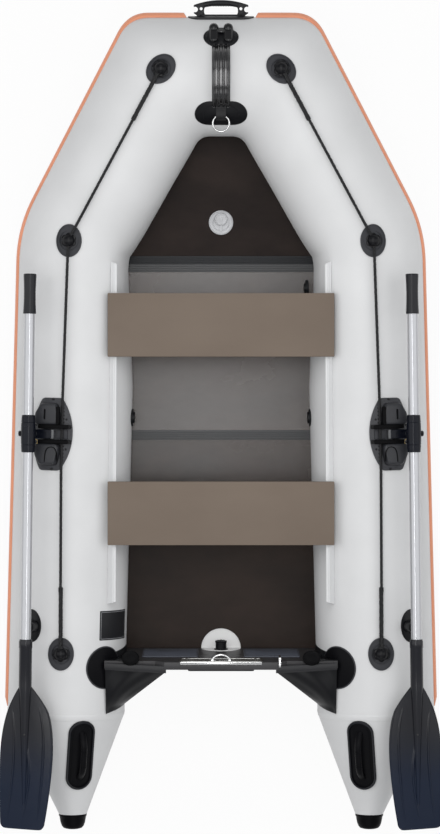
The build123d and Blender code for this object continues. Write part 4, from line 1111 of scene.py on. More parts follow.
base_plate = cut_plate("base", base_side(0.067, ROWLOCK_HALF, 0.074), -0.004, 0.006, rowlock_grey, 0.0018, 3)
inner_plate = cut_plate("inner", base_side(0.06, ROWLOCK_HALF - 0.008, 0.067), 0.004, 0.0078, rowlock_grey,
                        0.0012)
tooth = cut_plate("tooth", round_box(0.0034, 0.0026, 0.0008, 2), 0.004, 0.0165, glossy_black, 0.0006)
tooth_rows = [row_of("teeth", tooth, (-0.0375, first, 0), (-0.037, last, 0), 6, glossy_black)
              for first, last in ((0.04, 0.1), (-0.04, -0.1))]
fore_outline = cornered([(-0.031, 0.027), (0.064, 0.027), (0.06, 0.07), (0.04, 0.106),
                         (-0.02, 0.106), (-0.03, 0.0625)], 0.016)
aft_outline = [(x, -y) for x, y in reversed(fore_outline)]
fore_slot = put(cut_plate("slot", slot_outline(0.0036, 0.0175), 0.015, 0.05, fitting_black, 0),
                shift(0.021, 0.066))
fore_hump = carved(lofted_block("fore_hump", fore_outline, HUMP_STEPS, hump_grey), fore_slot)
aft_hump = lofted_block("aft_hump", aft_outline, HUMP_STEPS, hump_grey)
groove = eased([Vector(point) for point in (
    (0.018, -0.093), (0.0145, -0.05), (-0.005, -0.04), (-0.0235, -0.05), (-0.027, -0.09))], 6)
groove_path = [Vector((x, y, 0.03)) for x, y in groove]
# The humps' grooves are not cut: dark strips laid on the hump's top along the groove lines paint their shade.
groove_shade_strips = [swept("groove_shade_strip", groove_path, oval_outline(0.005, 0.0012, 12), cap_black, side=UP),
          put(cut_plate("groove_shade_strip", slot_outline(0.0055, 0.031), 0.02, 0.0306, cap_black, 0.0004),
              shift(-0.0245, 0.062))]
cheeks = [put(cut_plate("cheek", round_box(0.054, 0.0068, 0.004), -0.014, 0.029, cap_black, 0.0024, 3),
              shift(-0.009, side * (CHANNEL_HALF + 0.0092))) for side in (-1, 1)]
channel_floor = put(cut_plate("channel_floor", round_box(0.018, CHANNEL_HALF, 0.001), -0.01, 0.0105,
                              fitting_grey, 0.0008), shift(-0.035, 0))
clip_path = [Vector((0.052 + 0.007 * cos(a), -0.027 + 0.009 * sin(a), 0.0255)) for a in
             [radians(d) for d in range(80, 261, 15)]]
clip = swept("clip", clip_path, oval_outline(0.0014, 0.0014, 10), brass, side=UP)
base_screws = screws(0.0048, fitting_black, *(
    (x, y, 0.0062 - x * x / 2 / TUBE_RADIUS) for x, y in (
        (0.0, 0.117), (0.0, -0.117), (-0.046, 0.05), (-0.046, -0.05), (0.06, 0.03), (0.06, -0.03))))
rowlock_base = joined("rowlock_base", [
    wrapped(base_plate, 0.008), wrapped(inner_plate, 0.008), *tooth_rows, fore_hump, aft_hump, *groove_shade_strips, *cheeks,
    channel_floor, clip, *base_screws])
both_sides("rowlock_base_blocks", put(rowlock_base, rowlock_place), "hull", "black_plastic", "rowlock_bases",
           smooth_angle=34.0)

# ------------------------------------------------------------------ rowlock arms, oar collars and thumbscrews
ARM_LOW, ARM_HIGH = 0.012, 0.026
FACE_GAP = 0.0003
SHAFT_RADIUS = 0.0175
STEM_FOOT = ARM_HIGH + FACE_GAP - SHAFT_HEIGHT
STEM_TOP = -0.0185
OAR_YAW = radians(0.6)
arm_outline = [*arc_points((SWING_OFFSET, -0.015), (SWING_OFFSET + 0.015, 0), (SWING_OFFSET, 0.015), 14),
               (0.012, 0.015), (0.004, 0.0142), (-0.004, 0.0142),
               (-0.004, -0.0142), (0.004, -0.0142), (0.012, -0.015)]
arm_well = put(cut_plate("well", round_box(0.013, 0.0085, 0.004), 0.0, 0.02, fitting_grey, 0),
               shift(0.028, 0, ARM_HIGH - 0.0025))
arm_body = carved(cut_plate("arm", arm_outline, ARM_LOW, ARM_HIGH, collar_navy, 0.0016, 3), arm_well)
arm_ribs = [put(cut_plate("rib", round_box(0.0012, 0.0082, 0.0004), ARM_LOW + 0.004, ARM_HIGH - 0.0006,
                          collar_navy, 0), shift(0.021 + 0.007 * i, 0)) for i in range(3)]
arm_barrel = turned_shape("barrel", [(0.0069, -0.0146), (0.007, -0.0142), (0.007, 0.0142), (0.0069, 0.0146)],
                          barrel_grey, shift(*HINGE) @ spin(pi / 2, "X"), 28)
swing_pin = turned_shape("swing_pin", [(0.006, 0.0), (0.006, 0.019), (0.005, 0.02)], bright_steel,
                         shift(SWING_OFFSET, 0, ARM_HIGH - 0.001), 28)
arm_mesh = put(joined("arm", [arm_body, *arm_ribs, arm_barrel, swing_pin]), rowlock_place)

rowlock_up = rowlock_place.to_3x3() @ UP
pivot = rowlock_place @ Vector((SWING_OFFSET, 0, SHAFT_HEIGHT))
level_forward = Vector((-sin(OAR_YAW), cos(OAR_YAW), 0))
oar_forward = (level_forward - rowlock_up * level_forward.dot(rowlock_up)).normalized()
oar_out = oar_forward.cross(rowlock_up)
oar_place = frame_of(pivot, oar_out, oar_forward, rowlock_up)
oar_lathe = frame_of(pivot, oar_out, -rowlock_up, oar_forward)

COLLAR_HALF = [  # radius and distance from the middle, in metres
    (0.0177, 0.06), (0.0206, 0.062), (0.0218, 0.061), (0.0222, 0.0585), (0.023, 0.048), (0.0236, 0.0385),
    (0.0228, 0.0376), (0.0228, 0.0364), (0.0237, 0.0355), (0.0243, 0.018), (0.0245, 0.0),
]
collar_profile = [(radius, -off) for radius, off in COLLAR_HALF] + COLLAR_HALF[-2::-1]
collar_barrel = put(grid_mesh("barrel", round_rings(collar_profile, 56), collar_navy, looped=True), oar_lathe)
stem = turned_shape("stem", [(0.0148, STEM_FOOT), (0.0152, STEM_FOOT + 0.0012), (0.0152, STEM_FOOT + 0.005),
                             (0.0138, STEM_FOOT + 0.0062), (0.0134, STEM_FOOT + 0.018), (0.0146, STEM_TOP),
                             (0.0146, -0.016)], collar_navy, oar_place, 40)
web_outline = cornered([(-0.004, -0.034), (0.004, -0.034), (0.004, 0.034), (-0.004, 0.034)], 0.003)
collar_web = put(cut_plate("web", web_outline, STEM_FOOT + 0.01, STEM_TOP, collar_navy, 0.0015), oar_place)
collar_mesh = joined("collar", [collar_barrel, stem, collar_web])

KNOB_PROFILE = [(0.007, 0.0238), (0.0088, 0.024), (0.0094, 0.025), (0.0095, 0.0305), (0.0089, 0.0321),
                (0.006, 0.0326), (0.005, 0.0321), (0.002, 0.032)]


def eight_lobes(radius, angle):
    return 1 - 0.09 * (0.5 - 0.5 * cos(8 * angle)) * (1 if radius > 0.0065 else 0)


knob_place = frame_of(pivot, oar_forward, rowlock_up, oar_out)
screw_mesh = joined("thumbscrew", [
    turned_shape("knob", KNOB_PROFILE, fitting_black, knob_place, 64, eight_lobes),
    turned_shape("shank", [(0.0038, SHAFT_RADIUS + 0.0004), (0.0038, 0.025)], bright_steel, knob_place, 20)])

# ------------------------------------------------------------------ oars
GRIP_FRONT = 0.531
GRIP_LENGTH = 0.133
GRIP_WAVES = 22
grip_rear = GRIP_FRONT - GRIP_LENGTH
grip_profile = [(SHAFT_RADIUS + 0.0002, grip_rear), (0.021, grip_rear + 0.0004), (0.0218, grip_rear + 0.0022)]
for i in range(GRIP_WAVES):
    share = i / (GRIP_WAVES - 1)
    swell = 0.0196 + 0.0018 * (2 * share - 1) ** 2 + 0.00022 * (i % 2)
    grip_profile.append((swell, grip_rear + 0.007 + (GRIP_LENGTH - 0.016) * share))
grip_profile += [(0.0214, GRIP_FRONT - 0.007), (0.0216, GRIP_FRONT - 0.003), (0.0208, GRIP_FRONT - 0.0008),
                 (0.019, GRIP_FRONT), (0.0178, GRIP_FRONT - 0.0012), (0.012, GRIP_FRONT - 0.0014),
                 (0.004, GRIP_FRONT - 0.0014)]
grip_mesh = turned_shape("grip", grip_profile, grip_black, oar_lathe, 48)

BLADE_START = 0.835
BLADE_LENGTH = 0.483
SOCKET_START = 0.683
ACROSS = 151
ALONG = 80
DOT_AT = 0.163
BLADE_OUT = ((0.0, 0.017), (0.03, 0.0335), (0.065, 0.05), (0.1, 0.062), (0.15, 0.073), (0.213, 0.08),
             (0.3, 0.0818), (0.4, 0.0805), (0.483, 0.077))
BLADE_IN = ((0.0, 0.017), (0.03, 0.04), (0.06, 0.061), (0.09, 0.078), (0.14, 0.09), (0.213, 0.095),
            (0.3, 0.0905), (0.4, 0.079), (0.483, 0.066))
BLADE_RIBS = (  # share of the length, metres from the spine, outboard positive
    ((0.17, 0.043), (0.28, 0.037), (0.38, 0.0345), (0.56, 0.0365), (0.75, 0.0435), (0.93, 0.053)),
    ((0.17, -0.049), (0.28, -0.059), (0.38, -0.0625), (0.56, -0.061), (0.75, -0.054), (0.93, -0.045)),
    ((0.36, -0.001), (0.5, -0.0125), (0.63, -0.0165), (0.79, -0.0085), (0.93, 0.003)),
)


def along_curve(points, at):
    """The value at a place along a smooth curve through (place, value) points."""
    for i in range(len(points) - 1):
        if at <= points[i + 1][0] or i == len(points) - 2:
            break
    (x0, y0), (x1, y1) = points[i], points[i + 1]
    before = points[i - 1] if i else points[i]
    after = points[i + 2] if i + 2 < len(points) else points[i + 1]
    slope0 = (y1 - before[1]) / (x1 - before[0])
    slope1 = (after[1] - y0) / (after[0] - x0)
    span = x1 - x0
    t = min(1.0, max(0.0, (at - x0) / span))
    return (y0 * (1 + 2 * t) * (1 - t) ** 2 + span * slope0 * t * (1 - t) ** 2 + y1 * t * t * (3 - 2 * t)
            + span * slope1 * t * t * (t - 1))


def blade_height(share, across, aside):
    """How far the blade's face stands off its middle plane; across goes from -1 inboard to 1 outboard."""
    edge = max(0.0, (abs(across) - 0.95) / 0.05)
    height = 0.003 - 0.0006 * edge
    height += 0.0014 * max(0.0, 1 - abs(abs(across) - 0.965) / 0.028)
    for rib in BLADE_RIBS:
        start, end = rib[0][0], rib[-1][0]
        if start < share < end:
            full = sin(pi * (share - start) / (end - start)) ** 0.6
            reach = 0.0012 + 0.0034 * full
            height += 0.0046 * full * max(0.0, 1 - abs((aside - along_curve(rib, share)) / reach) ** 1.6)
    return height


def blade_ring(share):
    """The blade's section at a share of its length: its upper face, and back along its lower face."""
    top, low = [], []
    for j in range(ACROSS):
        across = -1 + 2 * j / (ACROSS - 1)
        reach = BLADE_LENGTH * (1 - 0.034 * abs(across) ** 14) - 0.0045 * (1 + across)
        at = share * reach
        width = along_curve(BLADE_OUT if across > 0 else BLADE_IN, at)
        bend = -0.0035 * across * across * min(1.0, share / 0.2)
        height = blade_height(share, across, width * across)
        top.append(Vector((width * across, -BLADE_START - at, bend + height)))
        low.append(Vector((width * across, -BLADE_START - at, bend - height)))
    return top + low[::-1]


def capped_strip(name, rings, material):
    """A flat closed skin whose first and last rings are closed across, point to facing point."""
    mesh = grid_mesh(name, rings, material)
    count = len(rings[0])
    with edited(mesh) as work:
        work.verts.ensure_lookup_table()
        for first in (0, (len(rings) - 1) * count):
            for j in range(count // 2 - 1):
                corners = (first + j, first + j + 1, first + count - 2 - j, first + count - 1 - j)
                work.faces.new([work.verts[k] for k in corners])
        bmesh.ops.recalc_face_normals(work, faces=work.faces)
    return mesh


blade_side = oar_forward.cross(UP).normalized()
blade_place = frame_of(pivot, blade_side, oar_forward, blade_side.cross(oar_forward))
blade_rings = [blade_ring(i / ALONG) for i in range(ALONG + 1)]
blade_sheet = put(capped_strip("blade", blade_rings, blade_navy), blade_place)
spine_profile = [(0.004, -BLADE_START - 0.4), (0.0058, -BLADE_START - 0.396)]
spine_profile += [(0.006 + 0.0155 * (1 - i / 16) ** 1.25, -BLADE_START - 0.38 * (i / 16))
                  for i in range(16, 0, -1)]
socket_profile = [(0.0215, -BLADE_START), (0.0215, -SOCKET_START - 0.03), (0.0225, -SOCKET_START - 0.028),
                  (0.0225, -SOCKET_START - 0.008), (0.0215, -SOCKET_START - 0.004), (0.02, -SOCKET_START),
                  (SHAFT_RADIUS + 0.0001, -SOCKET_START)]
blade_spine = turned_shape("spine", spine_profile + socket_profile, blade_navy, oar_lathe, 40)
# The hole in the spine is not cut: a small dark disc on the spine paints its shade.
spine_hole_shade = turned_shape("dot", [(0.0034, 0.0), (0.0034, 0.0012), (0.0022, 0.0018)], hollow_painted_shade,
                         blade_place @ shift(0, -BLADE_START - DOT_AT, 0.013), 16)
blade_mesh = joined("blade", [blade_sheet, blade_spine, spine_hole_shade])

for side in ("starboard", "port"):
    for name, mesh, body, slot, node, angle in (
            ("arm", arm_mesh, "rowlock_arm", "black_plastic", "rowlock_arm", 35.0),
            ("collar", collar_mesh, "oar_collar", "black_plastic", "oar_collar", 40.0),
            ("knob", screw_mesh, "oar_collar", "black_plastic", "thumbscrew", 35.0),
            ("grip", grip_mesh, "oar", "grip_rubber", "oar_grip", 45.0),
            ("blade", blade_mesh, "oar", "blade_plastic", "oar_blade", 50.0)):
        one = mesh.copy() if side == "starboard" else mirrored(mesh, name)
        add_piece(f"{side}_{name}", one, f"{side}_{body}", slot, f"{side}_{node}", smooth_angle=angle)

# ------------------------------------------------------------------ oar rests
REST_ALONG = -0.645
POST_TOP = -SHAFT_RADIUS - 0.005
rest_plate = wrapped(cut_plate("rest", oval_outline(0.041, 0.056), -0.004, 0.004, fitting_black, 0.0014))
rest_ring = turned_shape("ring", [(0.025, 0.002), (0.0248, 0.0062), (0.0232, 0.0068), (0.0222, 0.006),
                                  (0.022, 0.002)], fitting_black)
rest_foot = put(joined("foot", [rest_plate, rest_ring]), side_place(ROWLOCK_Y + REST_ALONG, radians(35.0)))
rest_post = turned_shape("post", [(0.02, POST_TOP - 0.04), (0.0185, POST_TOP - 0.02), (0.018, POST_TOP - 0.004),
                                  (0.0168, POST_TOP - 0.0008), (0.012, POST_TOP), (0.004, POST_TOP)],
                         fitting_black, oar_place @ shift(0, REST_ALONG), 40)
both_sides("oar_rest_pads", joined("rests", [rest_foot, rest_post]), "hull", "black_plastic", "oar_rests")

# ------------------------------------------------------------------ bottom
KEEL_HEIGHT = 0.006
BOTTOM_SLOPE = radians(6.1)
FABRIC = 0.0025
UNDER_BOARD = 0.04  # how far the sheet goes on behind the transom
KEEL_ROUND = 0.02
SIDE_STEPS, BOW_STEPS, CROSS_STEPS = 48, 22, 40
transom_y = SEAM_Y + 0.204


def bottom_edge(centre_x):
    """How far from the middle the bottom sheet meets the tube's underside."""
    low, high = centre_x - TUBE_RADIUS, centre_x
    for _ in range(30):
        x = (low + high) / 2
        height = KEEL_HEIGHT + x * tan(BOTTOM_SLOPE)
        inside = (x - centre_x) ** 2 + (height - TUBE_RADIUS) ** 2 < TUBE_RADIUS ** 2
        low, high = (low, x) if inside else (x, high)
    return low + 0.022


bottom_rows = []
for i in range(SIDE_STEPS + 1):
    y = transom_y - UNDER_BOARD + (SHOULDER_Y - transom_y + UNDER_BOARD) * i / SIDE_STEPS
    bottom_rows.append((Vector((0, y, 0)), UP, bottom_edge(side_middle(y).x)))
for i in range(1, BOW_STEPS + 1):
    share = i / BOW_STEPS
    base = shoulder_middle + BOW_FORWARD * (BOW_RUN * share) - BOW_UP * TUBE_RADIUS
    bottom_rows.append((base, BOW_UP, bottom_edge(SHOULDER_HALF + (BOW_HALF - SHOULDER_HALF) * share)))
bottom_rings = []
for base, over, edge in bottom_rows:
    upper, lower = [], []
    for j in range(CROSS_STEPS + 1):
        x = -edge + 2 * edge * j / CROSS_STEPS
        rise = KEEL_HEIGHT + sqrt(x * x + KEEL_ROUND ** 2) * tan(BOTTOM_SLOPE) - KEEL_ROUND * tan(BOTTOM_SLOPE)
        belly = 0.004 * sin(pi * min(1.0, abs(x) / edge)) ** 2
        upper.append(base + over * (rise + belly + FABRIC) + X_DIR * x)
        lower.append(base + over * (rise + belly) + X_DIR * x)
    bottom_rings.append(upper + lower[::-1])
add_piece("bottom_skin", grid_mesh("bottom_skin", bottom_rings, bottom_grey, ENDS), "hull", "grey_pvc",
          "bottom_sheet", "bow_bottom_sheet", smooth_angle=40.0)

TAPE_PROUD = 0.001
tape_angles = [radians(a) for a in range(238, 263, 3)]
tape_lines = [hull_line(a, 0.0016) for a in tape_angles]
tape_lines += [hull_line(a, -0.0005) for a in reversed(tape_angles)]
bottom_tape = grid_mesh("bottom_tape", skin_rings(stations(2.35, 5.4), tape_lines), patch_grey, ENDS)
tape_edge = [hull_line(angle, -0.0002) for angle in angles_round(96)]
tape_top = [hull_line(angle, TAPE_PROUD) for angle in angles_round(96)]
stern_rings = [skin_rings([1.0 + i / 6], tape_edge if i in (0, 6) else tape_top)[0] for i in range(7)]
seam_tapes = [bottom_tape, grid_mesh("stern_tape", stern_rings, tube_grey)]
both_sides("hull_seam_tapes", joined("tapes", seam_tapes), "hull", "grey_pvc")

# ------------------------------------------------------------------ floor profiles and valves
BROAD = 0.056
NARROW = 0.034
FLOOR_REACH = 0.336
PROFILE_RISE = 0.002
GROOVE_DEPTH = 0.0011
BOW_PROFILE_Y = 0.529


def profile_section(width, grooves):
    """A floor profile's section: a grooved top over a flat rib that joins two boards."""
    half = width / 2
    pitch = (width - 0.006) / grooves
    section = [(-half, -0.001), (-half, PROFILE_RISE - 0.0006), (-half + 0.0008, PROFILE_RISE)]
    for i in range(grooves):
        at = -half + 0.003 + pitch * i
        section += [(at, PROFILE_RISE), (at + 0.0007, PROFILE_RISE - GROOVE_DEPTH),
                    (at + pitch * 0.34, PROFILE_RISE - GROOVE_DEPTH), (at + pitch * 0.34 + 0.0007, PROFILE_RISE)]
    return section + [(half - 0.0008, PROFILE_RISE), (half, PROFILE_RISE - 0.0006), (half, -0.001),
                      (half - 0.003, -0.0115), (-half + 0.003, -0.0115)]


profile_meshes = []
for y, width, grooves, finish in ((-0.362, NARROW, 4, profile_mid), (-0.066, NARROW, 4, profile_mid),
                                  (BOW_PROFILE_Y, BROAD, 7, profile_painted_shade)):
    section = profile_section(width, grooves)
    rings = [[Vector((x, y + a, FLOOR_TOP + b)) for a, b in section] for x in (-FLOOR_REACH, FLOOR_REACH)]
    profile_meshes.append(grid_mesh("profile", rings, finish, ENDS))
broad_profile = profile_meshes[-1]
# The fore half of the broad profile keeps the darker finish as painted shade; the aft half takes the plain one.
broad_profile.materials.append(profile_mid)
for polygon in broad_profile.polygons:
    if polygon.center.y < BOW_PROFILE_Y + 0.001:
        polygon.material_index = 1
add_piece("floor_joining_profiles", joined("profiles", profile_meshes), "hull", "aluminium", "floor_profiles",
          smooth_angle=25.0)

BOW_BOARD_Y = BOW_PROFILE_Y + BROAD / 2
BOARD_LEAN = radians(7.4)
KEEL_VALVE_Y = 0.672
valve_along = (KEEL_VALVE_Y - BOW_BOARD_Y) / cos(BOARD_LEAN)
board_frame = frame_of(Vector((0, BOW_BOARD_Y, FLOOR_TOP)), X_DIR,
                       Vector((0, cos(BOARD_LEAN), sin(BOARD_LEAN))),
                       Vector((0, -sin(BOARD_LEAN), cos(BOARD_LEAN))))
valve_place = board_frame @ shift(0, valve_along)
valve_ring = turned_shape("valve_ring", [
    (0.0425, -0.009), (0.0428, -0.003), (0.0422, 0.0004), (0.0408, 0.0014), (0.0392, 0.0008), (0.038, -0.002),
    (0.03, -0.003), (0.0285, -0.001), (0.027, -0.0006), (0.0262, -0.0024), (0.012, -0.0026), (0.002, -0.0026),
], valve_white, valve_place, 64)
valve_cap = turned_shape("valve_cap", [
    (0.0215, -0.0024), (0.0225, 0.0012), (0.0222, 0.005), (0.0206, 0.0072), (0.018, 0.0078), (0.0165, 0.0066),
    (0.007, 0.0064), (0.0055, 0.0074), (0.002, 0.0075),
], valve_white, valve_place @ shift(0, 0.012) @ spin(radians(6.0), "X"))
valve_strap = put(cut_plate("strap", round_box(0.0045, 0.012, 0.002), -0.0026, 0.001, valve_white, 0.0006),
                  valve_place @ shift(0, -0.02))
add_piece("keel_valve_face", joined("valve", [valve_ring, valve_cap, valve_strap]), "hull", "pale_plastic",
          "keel_valve", smooth_angle=30.0)

VALVE_ROLL = radians(-88.0)
FORE_VALVE_Y, MIDDLE_VALVE_Y = 0.441, 0.0
VALVE_FINS = 12
VALVE_PROFILE = [(0.03, -0.005), (0.0302, 0.003), (0.029, 0.0044), (0.0225, 0.0046), (0.0205, 0.004),
                 (0.019, 0.0044), (0.0182, 0.009), (0.017, 0.01), (0.01, 0.0102), (0.008, 0.0092),
                 (0.003, 0.0092)]
FIN = [(-0.0012, 0.0165), (0.0012, 0.0165), (0.0012, 0.0196), (-0.0012, 0.0196)]
fins = [put(cut_plate("fin", FIN, 0.003, 0.0092, fitting_black, 0), spin(angle, "Z"))
        for angle in angles_round(VALVE_FINS)]
air_valve = joined("air_valve", [turned_shape("air_valve", VALVE_PROFILE, fitting_black), *fins])
fore_valve = put(air_valve.copy(), side_place(FORE_VALVE_Y, VALVE_ROLL))
middle_valve = put(air_valve.copy(), side_place(MIDDLE_VALVE_Y, VALVE_ROLL))
air_valves = joined("valves", [fore_valve, middle_valve, mirrored(middle_valve, "port_valve")])
add_piece("air_valve_faces", air_valves, "hull", "pale_plastic", "air_valves", smooth_angle=30.0)

# ------------------------------------------------------------------ seats and their rails
RAIL_HALF_GAP = 0.349
RAIL_ENDS_SLANT = 0.01
(_, RAIL_REAR, _), (_, RAIL_FRONT, RAIL_TOP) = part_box("seat_rails")


def rail_ring(y):
    """The rail's section at one place: a flat-topped ridge inboard and a flange that lies on the tube."""
    share = (y - RAIL_REAR) / (RAIL_FRONT - RAIL_REAR)
    gap = RAIL_HALF_GAP + 0.004 * (1 - share)
    width = 0.03 - 0.009 * share
    centre = side_middle(y)
    skin = centre.z + sqrt(TUBE_RADIUS ** 2 - (gap + width - centre.x) ** 2) - RAIL_TOP
    section = [
        (0.0002, -0.0075), (0.0002, -0.0008), (0.001, 0.0), (0.0062, 0.0), (0.007, -0.0006),
        (0.0076, -0.0026), (0.012, -0.0034), (width * 0.7, -0.004 + 0.45 * (skin + 0.004)),
        (width, skin + 0.0014), (width + 0.0006, skin - 0.001), (width * 0.7, skin - 0.004), (0.0105, -0.012),
        (0.0105, -0.09), (0.007, -0.09), (0.007, -0.011),
    ]
    ring = []
    for x, z in section:
        slant = RAIL_ENDS_SLANT * (1 - min(1.0, x / width))
        at = y - slant * smooth_step(share, 0.93, 1.0) + slant * (1 - smooth_step(share, 0.0, 0.07))
        ring.append(Vector((gap + x, at, RAIL_TOP + z)))
    return ring


rail_rings = [rail_ring(RAIL_REAR + (RAIL_FRONT - RAIL_REAR) * i / 60) for i in range(61)]
both_sides("seat_rail_strips", grid_mesh("rail", rail_rings, rail_grey, ENDS), "hull", "grey_pvc", "seat_rails",
           smooth_angle=22.0)

SEAT_EDGE_SLOPE = 0.55  # faces whose normal rises less than this are the board's cut edge
for name in ("front_seat", "rear_seat"):
    seat_mesh = softened(name, seat_taupe, 0.0012)
    seat_mesh.materials.append(ply_edge)
    for polygon in seat_mesh.polygons:
        if abs(polygon.normal.z) < SEAT_EDGE_SLOPE:
            polygon.material_index = 1
    add_piece(name + "_board", seat_mesh, name, "seat_ply", name, smooth_angle=30.0)

# ------------------------------------------------------------------ transom
LEAN = radians(3.0)
TRANSOM_TOP = 0.395
TRANSOM_WING_TOP = 0.364
TRANSOM_THICKNESS = 0.025
PANEL_X = 0.173
PANEL_LOW, PANEL_HIGH = 0.03, 0.195
PANEL_HALF = (PANEL_HIGH - PANEL_LOW) / 2
CORNER_CAP = [(0.004, -0.029), (0.015, -0.0265), (0.0225, -0.018), (0.0262, -0.006), (0.0268, 0.002),
              (0.0262, 0.006), (0.0235, 0.0078), (0.0215, 0.007), (0.012, 0.008), (0.003, 0.0084)]
CORNER_SKIRT = ((0.3, 0.25), (0.352, 0.228), (0.378, 0.3), (0.404, 0.338), (0.416, 0.35), (0.296, 0.374))
OUTER_SCREW_X = 0.3
OUTER_SCREW_UP = (0.06, 0.2)
transom_up = Vector((0, -sin(LEAN), cos(LEAN)))
transom_inner = frame_of(Vector((0, transom_y, FLOOR_TOP)), -X_DIR, transom_up,
                         Vector((0, cos(LEAN), sin(LEAN))))
transom_outer = frame_of(transom_inner @ Vector((0, 0, -TRANSOM_THICKNESS)), X_DIR, transom_up,
                         Vector((0, -cos(LEAN), -sin(LEAN))))


def up_transom(height):
    return (height - FLOOR_TOP) / cos(LEAN)


top_up = up_transom(TRANSOM_TOP)
skirt_outline = cornered([(x, up_transom(height)) for x, height in CORNER_SKIRT], 0.004)
transom_parts = [softened("transom_board", transom_black, 0.0035, 3)]
for side in (-1, 1):
    panel_place = shift(PANEL_X * side, (PANEL_LOW + PANEL_HIGH) / 2)
    panel = cut_plate("panel", round_box(0.095, PANEL_HALF, 0.006), -0.001, 0.0026, panel_grey, 0.0012)
    line = carved(
        cut_plate("line", round_box(0.092, PANEL_HALF - 0.003, 0.005), 0.0, 0.0034, transom_black, 0),
        cut_plate("gap", round_box(0.0905, PANEL_HALF - 0.0045, 0.004), -0.01, 0.01, transom_black, 0))
    corner_cap = turned_shape(
        "corner_cap", CORNER_CAP, cap_black, shift(0.3035 * side, up_transom(0.374), 0.011)
        @ spin(radians(-60), "X") @ Matrix.Diagonal((1.12, 0.93, 1.0, 1.0)), 44)
    corner_skirt = cut_plate("corner_skirt", skirt_outline, -0.001, 0.002, patch_black, 0.0008)
    if side < 0:
        corner_skirt = mirrored(corner_skirt, "corner_skirt")
    transom_parts += [put(mesh, transom_inner) for mesh in (put(panel, panel_place), put(line, panel_place),
                                                            corner_cap, corner_skirt)]
    transom_parts += [put(screw_head(0.005), transom_outer @ shift(side * OUTER_SCREW_X, up_by))
                      for up_by in OUTER_SCREW_UP]
add_piece("transom_face", joined("transom", transom_parts), "hull", "black_ply", "transom_board",
          smooth_angle=30.0)

CLAMP_HALF = (0.14, 0.035)
CLAMP_INSET = 0.003
clamp_middle = top_up - CLAMP_HALF[1]
clamp_lip = put(cut_plate("clamp_lip", round_box(0.137, 0.0042, 0.0025), 0.0, 0.0022, bright_steel, 0.0008),
                shift(0, top_up + 0.0002, -0.003) @ spin(-pi / 2, "X"))
clamp_plate = put(cut_plate("clamp", round_box(*CLAMP_HALF, 0.014), 0.0, 0.0026, warm_steel, 0.0008),
                  shift(0, clamp_middle))
clamp_outline = round_box(*(half - CLAMP_INSET for half in CLAMP_HALF), 0.0125, 8)
clamp_rings = []
for i, (x, y) in enumerate(clamp_outline):
    before, after = Vector(clamp_outline[i - 1]), Vector(clamp_outline[(i + 1) % len(clamp_outline)])
    along = (after - before).normalized()
    clamp_rings.append([Vector((x + along.y * 0.003 * cos(a), y - along.x * 0.003 * cos(a),
                                0.0022 + 0.0026 * sin(a))) + Vector((0, clamp_middle, 0))
                        for a in angles_round(12)])
clamp_rim = grid_mesh("clamp_rim", clamp_rings, soft_steel, looped=True)
clamp_bolts = screws(0.0055, warm_steel, *(
    (x, clamp_middle + y, 0.0024) for x in (-0.115, 0.115) for y in (-0.018, 0.018)))
clamp = joined("clamp", [clamp_plate, clamp_rim, clamp_lip, *clamp_bolts])
add_piece("clamp_plate_face", put(clamp, transom_inner), "hull", "steel", "inner_clamp_plate", smooth_angle=30.0)

EYE_HALF = 0.029
LEVER_X = -0.197
eye_path = [Vector((EYE_HALF * cos(a), 0, 0.003 + 0.021 * sin(a))) for a in
            [radians(d) for d in range(0, 181, 9)]]
eye = swept("eye", eye_path, oval_outline(0.0033, 0.0033, 14), bright_steel, side=Y_DIR)
eye_plate = cut_plate("eye_plate", slot_outline(0.04, 0.01), 0.0024, 0.005, bright_steel, 0.001)
eye_feet = [turned_shape("nut", [(0.0068, 0.004), (0.0068, 0.008), (0.0058, 0.009), (0.0033, 0.009)],
                         bright_steel, shift(x, 0), 6) for x in (-EYE_HALF, EYE_HALF)]
eye_mesh = put(joined("eye", [eye, eye_plate, *eye_feet]), transom_inner @ shift(0, top_up - 0.012))
lever_path = [Vector((0, y, z)) for y, z in (
    (0.0305, -0.0165), (0.031, -0.01), (0.03, 0.0), (0.028, 0.009), (0.023, 0.015), (-0.012, 0.0165))]
lever = swept("lever", lever_path, [(-0.0034, -0.0012), (0.0034, -0.0012), (0.0034, 0.0012), (-0.0034, 0.0012)],
              bright_steel)
lever_place = transom_inner @ shift(LEVER_X, up_transom(TRANSOM_WING_TOP))
eye_and_lever = joined("eye_and_lever", [eye_mesh, put(lever, lever_place)])
add_piece("transom_eye_and_lever", eye_and_lever, "hull", "steel")

MOTOR_HALF = (0.111, 0.06)
MOTOR_RIB_HALF_ROW = 0.046
motor_back = cut_plate("motor", round_box(*MOTOR_HALF, 0.01), -0.001, 0.0046, fitting_black, 0.0015, 3)
rib_shape = cut_plate("motor_rib", round_box(0.1, 0.0022, 0.0015, 3), 0.004, 0.0062, fitting_black, 0.0007)
motor_ribs = row_of("motor_ribs", rib_shape, (0, -MOTOR_RIB_HALF_ROW, 0), (0, MOTOR_RIB_HALF_ROW, 0), 9,
                    fitting_black)
motor_pad = put(joined("motor", [motor_back, motor_ribs]), transom_outer @ shift(0, top_up - MOTOR_HALF[1]))
add_piece("motor_pad_face", motor_pad, "hull", "black_plastic", "outer_motor_pad", smooth_angle=30.0)

